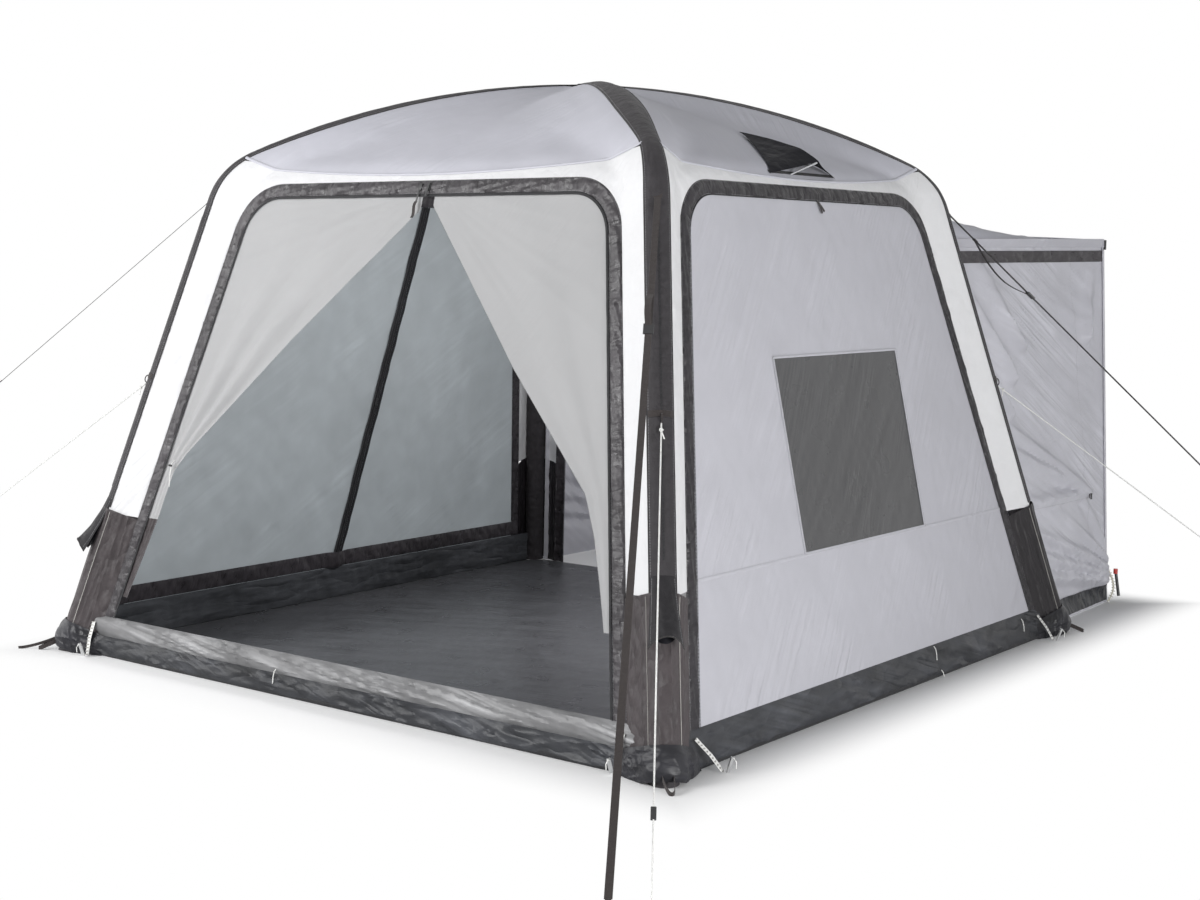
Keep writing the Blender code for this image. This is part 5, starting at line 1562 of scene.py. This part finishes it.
def knot(name, centre, along, size):
    """A tied overhand knot: a tube on a trefoil path, pulled tight."""
    side = along.orthogonal().normalized()
    up = along.cross(side).normalized()
    path = []
    for i in range(60):
        t = math.tau * i / 60
        x = (2 + math.cos(3 * t)) * math.cos(2 * t) * size * 0.42
        y = (2 + math.cos(3 * t)) * math.sin(2 * t) * size * 0.42
        path.append(centre + side * x + up * y + along * math.sin(3 * t) * size * 0.62)
    return tube(name, path, CORD_DIAMETER * 0.42, "cord_white", close=True, sides=8)


def make_strap_tail():
    """The strap's free end, folded back on itself above the front buckle."""
    start, end, along, wide = strap_span("front_right")
    face = wide.cross(along).normalized()
    at = start + along * (end - start).length * 0.235
    path = []
    for i in range(30):
        t = i / 29
        away = 0.0040 + 0.010 * math.sin(math.pi * t) * (0.5 + 0.5 * t)
        path.append(at - along * (0.012 + 0.13 * t) + face * away + wide * 0.006 * math.sin(3.0 * t))
    tape("strap_tail_front_right", path, STRAP_PROFILE, wide, body="strap_buckle_front_right")


# Valve covers


COVER_TOP_RISE, COVER_DROP, COVER_HALF_ANGLE, COVER_FLARE = 0.150, 0.085, 52, 0.062


def make_cover(corner):
    """The cloth hood over a valve: sewn at its top, round at its mouth, with a bound edge, and a black sheet
    on the sleeve under its mouth as painted shadow.
    """
    centre, out, along = pole_spot(corner, VALVE_Z)
    side = out.cross(along).normalized()
    top = centre + along * COVER_TOP_RISE
    length = COVER_TOP_RISE + COVER_DROP
    steps, ribs = 44, 44
    fronts, backs, marks = [], [], []
    for i in range(steps + 1):
        share = i / steps
        radius = SLEEVE_RADIUS + 0.0050 + COVER_FLARE * share**1.4
        for k in range(ribs + 1):
            across = 2 * k / ribs - 1
            angle = math.radians(COVER_HALF_ANGLE) * across
            fold = noise_at(across * 4, share * 3.5, 5.0) * 0.0035 * ease(share / 0.2)
            drop = length * share - 0.034 * share**3 * (1 - across**2)
            middle = (top - along * drop + out * (radius + fold) * math.cos(angle)
                    + side * (SLEEVE_RADIUS + 0.35 * (radius - SLEEVE_RADIUS)) * math.sin(angle))
            normal = (out * math.cos(angle) + side * math.sin(angle)).normalized()
            fronts.append(middle + normal * 0.0008)
            backs.append(middle - normal * 0.0008)
            marks.append((across * 0.06, share * length))
    row = ribs + 1
    body = f"valve_cover_{corner}"
    mesh = shell_mesh(f"valve_hood_{corner}", fronts, backs, grid_faces(steps, ribs), marks)
    made = finished(f"valve_hood_{corner}", mesh, "hood_black", body=body,
            instead_of=(f"valve_cover_{corner}",))
    # A black sheet on the sleeve under the hood's mouth: painted shadow where the hood shades the leg.
    shadow_rings = []
    for i in range(17):
        ring = []
        for k in range(17):
            share = 2 * k / 16 - 1
            low = 0.118 - 0.030 * share**2
            turned = Matrix.Rotation(math.radians(40 * share), 3, along) @ out
            ring.append(centre + along * (0.050 - low * i / 16) + turned * (SLEEVE_RADIUS + 0.0130))
        shadow_rings.append(ring)
    grid_cloth(f"valve_painted_shadow_{corner}", shadow_rings, "vent_black")
    rim = [(fronts[steps * row + k] + backs[steps * row + k]) / 2 for k in range(row)]
    tube(f"valve_hood_binding_{corner}", rim, 0.0022, "thread_black", body=body)
    for edge in (3, ribs - 3):
        path = [fronts[i * row + edge] for i in range(2, steps - 1)]
        along_path(f"stitches_hood_{corner}_{edge}", path, "thread_grey", SMALL_STITCH,
                body=body)


# Tunnel


def grid_cloth(name, rows, paint, instead_of=(), lift=None):
    """A sheet through a grid of world points, wrinkled along its own normals, that fades to its border."""
    height, width = len(rows), len(rows[0])
    fronts, backs, marks = [], [], []
    travel = widest = area = 0.0
    for i, row in enumerate(rows):
        gone = (row[width // 2] - rows[i - 1][width // 2]).length if i else 0.0
        travel += gone
        across_row = sum((b - a).length for a, b in zip(row, row[1:], strict=False))
        widest = max(widest, across_row)
        area += across_row * gone
        reach = 0.0
        for k, point in enumerate(row):
            if k:
                reach += (point - row[k - 1]).length
            across = row[min(k + 1, width - 1)] - row[max(k - 1, 0)]
            up = rows[min(i + 1, height - 1)][k] - rows[max(i - 1, 0)][k]
            normal = across.cross(up).normalized()
            if normal.dot(Vector((point.x, point.y * 0.01, (point.z - 1.0)))) < 0:
                normal = -normal
            fade = ease(min(i, height - 1 - i, k, width - 1 - k) / 6)
            shift = lift(reach, travel) * fade if lift else 0.0
            fronts.append(point + normal * (shift + GRID_THICKNESS / 2))
            backs.append(point + normal * (shift - GRID_THICKNESS / 2))
            marks.append((reach, travel))
    mesh = shell_mesh(name, fronts, backs, grid_faces(height - 1, width - 1), marks)
    made = finished(name, mesh, paint, instead_of=instead_of)
    return fronts


def ridge(spot, start, end, width):
    """How strongly a straight fold from one point to another lifts the cloth at a spot: 0 to 1."""
    spot, start, end = Vector(spot), Vector(start), Vector(end)
    along = end - start
    share = max(0.0, min(1.0, (spot - start).dot(along) / along.length_squared))
    return math.exp(-((spot - start - along * share).length / width) ** 2) * (0.35 + 0.65 * share)


TUNNEL_FOOT_LEVEL, TUNNEL_FRONT_OUT, TUNNEL_CLOTH_END_Y = 0.002, CLOTH / 2 + 0.0009, TUNNEL_END_Y - 0.0066

# Folds of the tunnel's sides, from the cabin to the toggle and from the low outer corner, as (share, height)
TUNNEL_TOGGLE = (0.78, 0.56)
TUNNEL_FOLDS = [((0.06, 0.98), TUNNEL_TOGGLE), ((0.08, 0.84), TUNNEL_TOGGLE), ((0.12, 0.56), TUNNEL_TOGGLE),
        ((0.05, 0.48), (0.97, 0.16)), ((0.10, 0.34), (0.97, 0.13)), ((0.16, 0.22), (0.95, 0.11)),
        ((0.45, 0.50), (0.98, 0.18)), ((0.76, 0.52), (0.97, 0.22)), ((0.10, 1.60), (0.28, 1.14)),
        ((0.04, 1.44), (0.20, 0.98)), ((0.24, 1.62), (0.38, 1.28)), ((0.92, 1.60), (0.84, 1.30))]


def tunnel_limit():
    """The level on the rear wall where the tunnel's sides end and its top begins."""
    return WALLS["rear"].level_at(SHOULDER_Z - TUNNEL_SHOULDER_DROP)


def make_tunnel_side(name, hand):
    """A side of the tunnel with its folds, seams, skirt, head band, eave, and the toggle that gathers it."""
    wall = WALLS["rear"]
    shoulder_level = tunnel_limit() - 2 * CLOTH
    steps, columns = 132, 84
    rows = []
    for i in range(steps + 1):
        up = i / steps
        level = TUNNEL_FOOT_LEVEL + (shoulder_level - TUNNEL_FOOT_LEVEL) * up
        start = wall.place(hand * (wall.pole(level) - TUNNEL_POLE_INSET), level, TUNNEL_FRONT_OUT)
        half = TUNNEL_FOOT_HALF + (TUNNEL_TOP_HALF - TUNNEL_FOOT_HALF) * up
        height = TUNNEL_FOOT_LEVEL + (TUNNEL_TOP_Z - 0.0018 - TUNNEL_FOOT_LEVEL) * up
        end = Vector((-hand * half, TUNNEL_CLOTH_END_Y, height))
        rows.append([start.lerp(end, k / columns) for k in range(columns + 1)])

    def lift(reach, travel):
        share = reach / (0.86 + 0.26 * travel)
        long = creases(reach, travel, -0.7, 0.07, 0.5, 3.0 + hand) * 0.008
        folds = max(ridge((share, travel), *fold, 0.030) for fold in TUNNEL_FOLDS) * 0.050
        broad = waves(reach, travel, -0.7, 0.25, 0.6, 6.0) * 0.014
        return (long + folds + broad - 0.010) * (0.1 + 0.9 * ease((1 - share) / 0.12))

    fronts = grid_cloth(f"tunnel_side_{name}", rows, "tunnel_grey", (f"tunnel_wall_{name}",),
            lift)
    row = columns + 1
    seam_row, low_row = int(steps * 0.31), int(steps * 0.058)
    seam = [fronts[seam_row * row + k] for k in range(int(columns * 0.80))]
    upright = [fronts[i * row + int(columns * 0.80)] for i in range(2, steps)]
    for label, path in (("low", seam), ("up", upright)):
        along_path(f"stitches_tunnel_{name}_{label}", path, "thread_grey", TUNNEL_STITCH)
    side = Vector((-hand, 0, 0))
    for label, paint, first, last, out in (("skirt", "skirt_black", 1, low_row, 0.0028),
            ("head", "band_black", int(steps * 0.948), int(steps * 0.982),
            0.0024)):
        patch = [[fronts[i * row + k] + side * (out + 0.0035 * pleats(k * 0.03, i / 10, 0.06, 1.0, 4.0))
                for k in range(1, row - 1)] for i in range(first, last + 1)]
        grid_cloth(f"tunnel_{label}_{name}", patch, paint)
    eave = [fronts[steps * row + k].lerp(fronts[(steps - 1) * row + k], 0.3) + side * 0.004
            for k in range(row)]
    sweep(f"tunnel_eave_{name}", eave, flat_profile(0.040, 0.0060), "wall_grey", wide=UP)
    at = fronts[int(steps * 0.315) * row + int(columns * 0.79)] + side * 0.006
    bar = [at + Vector((0, 0, 0.018 * (k - 3) / 3)) for k in range(7)]
    tube(f"tunnel_toggle_{name}", bar, 0.0042, "black_plastic")
    tie = ring_path(at - Vector((0, 0.012, 0)), side, 0.012)
    tube(f"tunnel_tie_{name}", tie, 0.0022, "strap_black", close=True)


def make_tunnel_top():
    """The tunnel's roof, from its line over the rear wall to the slightly raised edge at its far end."""
    wall = WALLS["rear"]
    limit = tunnel_limit()
    line = frame_line(wall, TUNNEL_POLE_INSET, wall.shoulder - TUNNEL_TOP_DROP, TUNNEL_FRONT_RADIUS, 0.002)
    arch = [point for point in line if point[1] > limit]
    side_u = wall.pole(limit) - TUNNEL_POLE_INSET
    middle = len(arch) // 2
    left_end, right_end = arch[middle - 1], arch[middle]
    level_part = [(left_end[0] + (right_end[0] - left_end[0]) * k / 40, left_end[1]) for k in range(1, 40)]
    arch = [(-side_u, limit), *arch[:middle], *level_part, *arch[middle:], (side_u, limit)]
    span = [0.0]
    for a, b in zip(arch, arch[1:], strict=False):
        span.append(span[-1] + math.dist(a, b))
    rows = []
    for (u, level), distance in zip(arch, span, strict=False):
        share = 2 * distance / span[-1] - 1
        start = wall.place(u, level, TUNNEL_FRONT_OUT + 0.0009)
        slack = 0.055 * (1 - share**4)
        end = Vector((-share * TUNNEL_TOP_HALF, TUNNEL_CLOTH_END_Y, tunnel_top_z(share)))
        rows.append([start.lerp(end, k / 40) - Vector((0, 0, slack * math.sin(math.pi * k / 40) ** 0.7))
                for k in range(41)])
    grid_cloth("tunnel_top", rows, "roof_grey", ("tunnel_roof",),
            lambda reach, travel: creases(reach, travel, 0.3, 0.08, 0.6, 9.0) * 0.006 - 0.003)


def tunnel_top_z(share):
    """The height of the tunnel's far end at a share of its half width."""
    return TUNNEL_TOP_Z + TUNNEL_ROOF_CROWN * (1 - share**2)


def make_tunnel_hem():
    """The band round the tunnel's far end: up one side, over the top and down the other."""
    crown = [(TUNNEL_TOP_HALF * (2 * i / 40 - 1), tunnel_top_z(2 * i / 40 - 1)) for i in range(41)]
    side_line = [(TUNNEL_FOOT_HALF + (TUNNEL_TOP_HALF - TUNNEL_FOOT_HALF) * k / 40,
            TUNNEL_TOP_Z * k / 40 + 0.004)
            for k in range(40)]
    line = [(-x, z) for x, z in side_line] + crown + side_line[::-1]
    route = [Vector((x, TUNNEL_END_Y - 0.003, z)) for x, z in line]
    band = sweep("tunnel_hem", route, flat_profile(TUNNEL_BAND_WIDTH, 0.0052), "tunnel_grey",
            instead_of=("tunnel_end_band",))


# Roof vent


def make_vent():
    wall = WALLS["right"]
    clear = CLOTH / 2 + 0.001 + 0.0009
    steps, ribs = 40, 48
    fronts, backs, marks = [], [], []
    for i in range(steps + 1):
        share = i / steps
        level = VENT_MOUTH_W + VENT_REACH * share
        half = max(VENT_HALF_WIDTH * (1 - share) ** 1.18, 0.006)
        out = wall.outward(level)
        for k in range(ribs + 1):
            across = 2 * k / ribs - 1
            rise = VENT_OPEN_HEIGHT * (1 - share) * (1 - abs(across)) * (1 - 0.10
                    * math.sin(math.pi * abs(across)))
            fold = noise_at(across * 5, share * 6, 2.0) * 0.003 * ease(share / 0.1) * (1 - share)
            point = wall.place(VENT_OFFSET + half * across, level, clear + rise + fold * (1 - abs(across)))
            fronts.append(point + out * 0.0006)
            backs.append(point - out * 0.0006)
            marks.append((half * across, level))
    mesh = shell_mesh("vent_cloth", fronts, backs, grid_faces(steps, ribs), marks)
    hood = finished("vent_cloth", mesh, "vent_black", instead_of=("vent_hood",))
    middle = VENT_MOUTH_W + VENT_REACH / 2
    tuple(wall.outward(middle))
    tuple(wall.place(VENT_OFFSET, middle, clear))
    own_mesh(hood)
    screen = []
    for k in range(41):
        across = 2 * k / 40 - 1
        screen.append((VENT_OFFSET + (VENT_HALF_WIDTH - 0.004) * across, VENT_MOUTH_W + 0.004))
    strip("vent_sill", wall, [(u, w + 0.014) for u, w in screen], screen, "zip_black", "zip_tape",
          out=0.0022)


# Small trims


def make_door_trims():
    wall = WALLS["front"]
    level = wall.band_top - BAND_WIDTH / 2
    up, out = wall.up(level), wall.outward(level)
    centre = wall.place(0.012, level) + out * 0.006
    blocks("zip_slider_second", [(centre, (0.016, 0.026, 0.007)),
            (centre - up * 0.036 + out * 0.003, (0.008, 0.046, 0.0024))],
           (wall.across(), up, out), "black_plastic")
    tab = [centre - up * (0.060 + 0.011 * k) + out * (0.004 + 0.004 * math.sin(k)) for k in range(7)]
    tape("zip_pull_tape", tab, flat_profile(0.014, 0.0018), wall.across())
    level = 0.80
    out, up = wall.outward(level), wall.up(level)
    centre = wall.place(-1.075, level) + out * 0.010
    path = [centre + up * 0.024 - out * 0.004, centre + up * 0.010 + out * 0.006, centre + out * 0.008,
            centre - up * 0.012 + out * 0.006, centre - up * 0.05 + out * 0.004,
            centre - up * 0.085 + wall.across() * 0.008 + out * 0.003]
    tube("tie_cord_left", steps_between(path, 0.004), 0.0016, "cord_white")
    toggle = ring_path(centre + out * 0.012, up, 0.004)
    tube("tie_toggle_left", toggle, 0.0042, "black_plastic", close=True)


def make_tie_tapes():
    """Two short tape ends that hang from under the right wall's zip band, to tie the rolled-up panel."""
    wall = WALLS["right"]
    level = wall.band_top - BAND_WIDTH
    out, up = wall.outward(level), wall.up(level)
    top = wall.place(0.035, level + 0.006) + out * 0.0030
    for name, drop, aside in (("a", 0.054, 0.022), ("b", 0.046, 0.042)):
        path = []
        for i in range(11):
            t = i / 10
            path.append(top - up * drop * t + wall.across() * aside * t * t + out * 0.006
                    * math.sin(math.pi * t))
        tape(f"tie_tape_{name}", path, flat_profile(0.009, 0.0014), wall.across())


def level_way(direction):
    return Vector((direction.x, direction.y, 0)).normalized()


def make_peg_points():
    """Webbing loops and ladder straps at the feet, with pegs where the photograph shows them."""
    for corner in CORNERS:
        centre, out, _ = pole_spot(corner, 0.03)
        flat_out = level_way(out)
        side = UP.cross(flat_out)
        root = Vector((centre.x, centre.y, 0)) + flat_out * (SLEEVE_RADIUS + 0.012)
        loop = []
        for i in range(29):
            t = i / 28
            angle = math.pi * t
            loop.append(root + side * 0.018 * math.cos(angle) + flat_out * 0.080 * math.sin(angle)
                    + Vector((0, 0, 0.004 + 0.035 * (1 - math.sin(angle)))))
        tape(f"peg_loop_{corner}", loop, flat_profile(0.016, 0.0018), UP)
    for name, side, u, lean, reach in (("front_right_a", "front", 1.33, -0.10, 0.022),
            ("front_right_b", "right", -1.33, 0.45, 0.075),
            ("right_c", "right", 1.30, 0.15, 0.070),
            ("front_left", "front", -1.36, 0.2, 0.05)):
        wall = WALLS[side]
        out = wall.outward(0.02)
        flat_out = level_way(out)
        foot = wall.place(u, 0.128 if side == "front" else 0.104) + out * 0.024
        end = Vector((foot.x, foot.y, 0)) + flat_out * reach + wall.across() * lean * 0.1
        end.z = 0.006
        path = steps_between([foot, foot.lerp(end, 0.5) + flat_out * 0.006, end], 0.006)
        tape(f"ladder_strap_{name}", path, flat_profile(0.019, 0.0016), wall.across(), "cord_white")
        along_path(f"ladder_marks_{name}", [p + flat_out * 0.0016 + Vector((0, 0, 0.0006)) for p in path],
                "tape_grey", LADDER_MARK)
        peg(name, end + flat_out * 0.012, flat_out, wall.across())
    centre, out, _ = pole_spot("front_left", 0.05)
    base = Vector((centre.x, centre.y, 0.0)) + level_way(out) * 0.075
    aside = Vector((-0.795, -0.606, 0.0))
    cord = [base + aside * (0.16 * i / 10) + Vector((0, 0, 0.045 * (1 - i / 10) ** 1.5 + 0.004))
            for i in range(11)]
    made = tape("peg_line_front_left", cord, flat_profile(0.012, 0.0024), UP)


def make_tunnel_corner(hand):
    """What hangs at a tunnel corner: a tag above, and below a ladder strap and a peg with a red head."""
    label = "right" if hand > 0 else "left"
    side = Vector((hand, 0, 0))
    top = Vector((hand * (TUNNEL_TOP_HALF - 0.02), TUNNEL_END_Y - 0.004, TUNNEL_TOP_Z))
    axes = (side, Vector((0, 1, 0)), UP)
    blocks(f"tunnel_tag_{label}", [(top + Vector((0, 0.004, -0.012)), (0.034, 0.008, 0.040))], axes,
           "cord_white")
    blocks(f"tunnel_clip_{label}",
           [(top + side * 0.024 + Vector((0, 0.004, -0.014)), (0.020, 0.012, 0.046))],
           axes, "black_plastic")
    foot = Vector((hand * (TUNNEL_FOOT_HALF + 0.006), TUNNEL_END_Y - 0.006, 0.155))
    strap = [foot + side * 0.028 * math.sin(3.0 * i / 14) - Vector((0, 0.0, 0.150 * i / 14))
            for i in range(15)]
    tape(f"tunnel_ladder_{label}", strap, flat_profile(0.020, 0.0018), Vector((0, 1, 0)), "tape_cream")
    along_path(f"tunnel_ladder_marks_{label}", [p + side * 0.0016 for p in strap], "cord_white",
            TUNNEL_LADDER_MARK)
    grip = foot + side * 0.030 + Vector((0, 0.014, 0.0))
    tube(f"tunnel_peg_{label}", [grip - Vector((0, 0, 0.012 * k)) + side * 0.002 * k for k in range(11)],
         0.0075,
         "black_plastic")
    tube(f"tunnel_peg_head_{label}", [grip + Vector((0, 0, 0.010 - 0.008 * k)) for k in range(4)], 0.0105,
         "red_plastic")


def peg(name, at, away, across):
    """A V-section ground peg, driven in up to its head, with a short pull cord."""
    lean = (UP + away * 0.35).normalized()
    for hand in (1, -1):
        wide = (away + across * hand * 0.9).normalized()
        path = [at + lean * (0.055 * i / 4) + wide * 0.006 for i in range(5)]
        path[0].z = max(path[0].z, 0.001)
        sweep(f"peg_{name}_{'a' if hand > 0 else 'b'}", path, flat_profile(0.013, 0.0022), "steel",
              wide=wide)
    pull = [at + lean * 0.046, at + lean * 0.052 + away * 0.012, at + lean * 0.040 + away * 0.026,
            at + lean * 0.018 + away * 0.032]
    tube(f"peg_pull_{name}", steps_between(pull, 0.004), 0.0016, "cord_white")


def make_skirt_pulls():
    for side, name, u, level in (("right", "right_a", 0.35, 0.115), ("right", "right_b", 0.38, 0.016),
            ("right", "right_c", 1.16, 0.10), ("front", "front", -0.28, 0.085)):
        wall = WALLS[side]
        out, up = wall.outward(level), wall.up(level)
        top = wall.place(u, level) + out * 0.012
        path = [top + up * 0.010, top + out * 0.006, top - up * 0.020 + out * 0.007,
                top - up * 0.045 + out * 0.004]
        for point in path:
            point.z = max(point.z, 0.004)
        tube(f"pull_{name}", steps_between(path, 0.004), 0.0018, "cord_white")


# Hard pieces that keep their CAD shape take a worn finish


def finish_hard_nodes():
    kept = {"black_plastic": ("valve_front_left", "valve_front_right", "valve_cap_front_left",
            "valve_cap_front_right", "door_zip_slider", "door_zip_pull",
            "side_zip_slider_left",
            "strap_buckle_front_right", "strap_buckle_rear_right",
            "guy_slider_front_right"),
            "stay_grey": ("vent_stay",),
            "tube_clear_grey": ("air_tube_front_left_to_rear_right", "air_tube_front_right_to_rear_left")}
    for paint, names in kept.items():
        for name in names:
            piece = bpy.data.objects[name]
            for slot in piece.material_slots:
                slot.material = PAINT[paint]


# Floor, backdrop and light


def lamp(name, place, target, size, power):
    data = bpy.data.lights.new(name, "AREA")
    data.shape = "RECTANGLE"
    data.size, data.size_y = size
    data.energy = power
    made = new_object(name, data)
    made.location = place
    made.rotation_euler = (Vector(target) - Vector(place)).to_track_quat("-Z", "Y").to_euler()
    return made


def make_studio():
    floor = bpy.data.meshes.new("floor")
    reach = 40.0
    floor.from_pydata([(-reach, -reach, 0), (reach, -reach, 0), (reach, reach, 0), (-reach, reach, 0)], [],
            [(0, 1, 2, 3)])
    floor.materials.append(studio_floor())
    ground = new_object("floor", floor)
    ground.location.z = -0.0005
    key = lamp("key", (-3.2, -8.0, 4.4), (0, 0, 1.1), (4.0, 3.0), 610)
    fill = lamp("fill", (-7.5, -3.5, 3.0), (0, 0, 1.0), (5.0, 4.0), 200)
    right = lamp("right", (7.4, -2.8, 0.95), (0.8, 0.2, 0.95), (3.6, 1.3), 350)
    inside = lamp("inside", (0.3, -0.1, 1.60), (-0.9, 0.4, 0.2), (0.8, 0.8), 28)
    for made in (key, fill, right, inside):
        made.visible_camera = False
    inside.visible_glossy = False
    world = bpy.data.worlds.new("studio")
    world.use_nodes = True
    tree = world.node_tree
    back = tree.nodes["Background"]
    back.inputs["Color"].default_value = (0.93, 0.945, 0.97, 1)
    back.inputs["Strength"].default_value = 0.26
    white = node(tree, "ShaderNodeBackground", {"Color": (1, 1, 1, 1), "Strength": 1.0})
    mixed = mix_on(tree, seen_rays(tree), back.outputs["Background"], white.outputs["Background"])
    link(tree, mixed, tree.nodes["World Output"].inputs["Surface"])
    bpy.context.scene.world = world
    bpy.context.scene.view_settings.view_transform = "Standard"


# The shelter

place_camera()
for corner_name in STRAP_ENDS:
    make_strap(corner_name)
for corner_name in CORD_ENDS:
    make_cord(corner_name)
make_strap_tail()
make_strap_loop()
make_arch("front_right", "rear_left", 1)
make_arch("front_left", "rear_right", -1)
for side_name in SIDES:
    make_surround(side_name)
    make_band(side_name)
    make_roof(side_name)
make_right_panel()
make_left_panel()
make_flap("flap_right", RIGHT_FLAP_EDGE, 1, 0.430, 2, 5.0, 0.45)
make_flap("flap_left", LEFT_FLAP_EDGE, -1, 0.250, 3, 9.0, 0.8, dark_below=0.575)
make_skirt("front", SILL_BOTTOM)
make_skirt("right", SKIRT_HEIGHT)
make_skirt("left", SKIRT_HEIGHT)
make_sill()
make_floor()
make_floor_edge("left")
make_floor_edge("right")
for corner_name in CORNERS:
    make_leg_wrap(corner_name)
    make_boot(corner_name)
    make_leg_zip(corner_name)
make_tunnel_side("left", 1)
make_tunnel_side("right", -1)
make_tunnel_top()
make_tunnel_hem()
make_vent()
make_cover("front_right")
make_cover("front_left")
make_door_trims()
make_tie_tapes()
make_peg_points()
make_tunnel_corner(1)
make_tunnel_corner(-1)
make_skirt_pulls()
finish_hard_nodes()
make_studio()
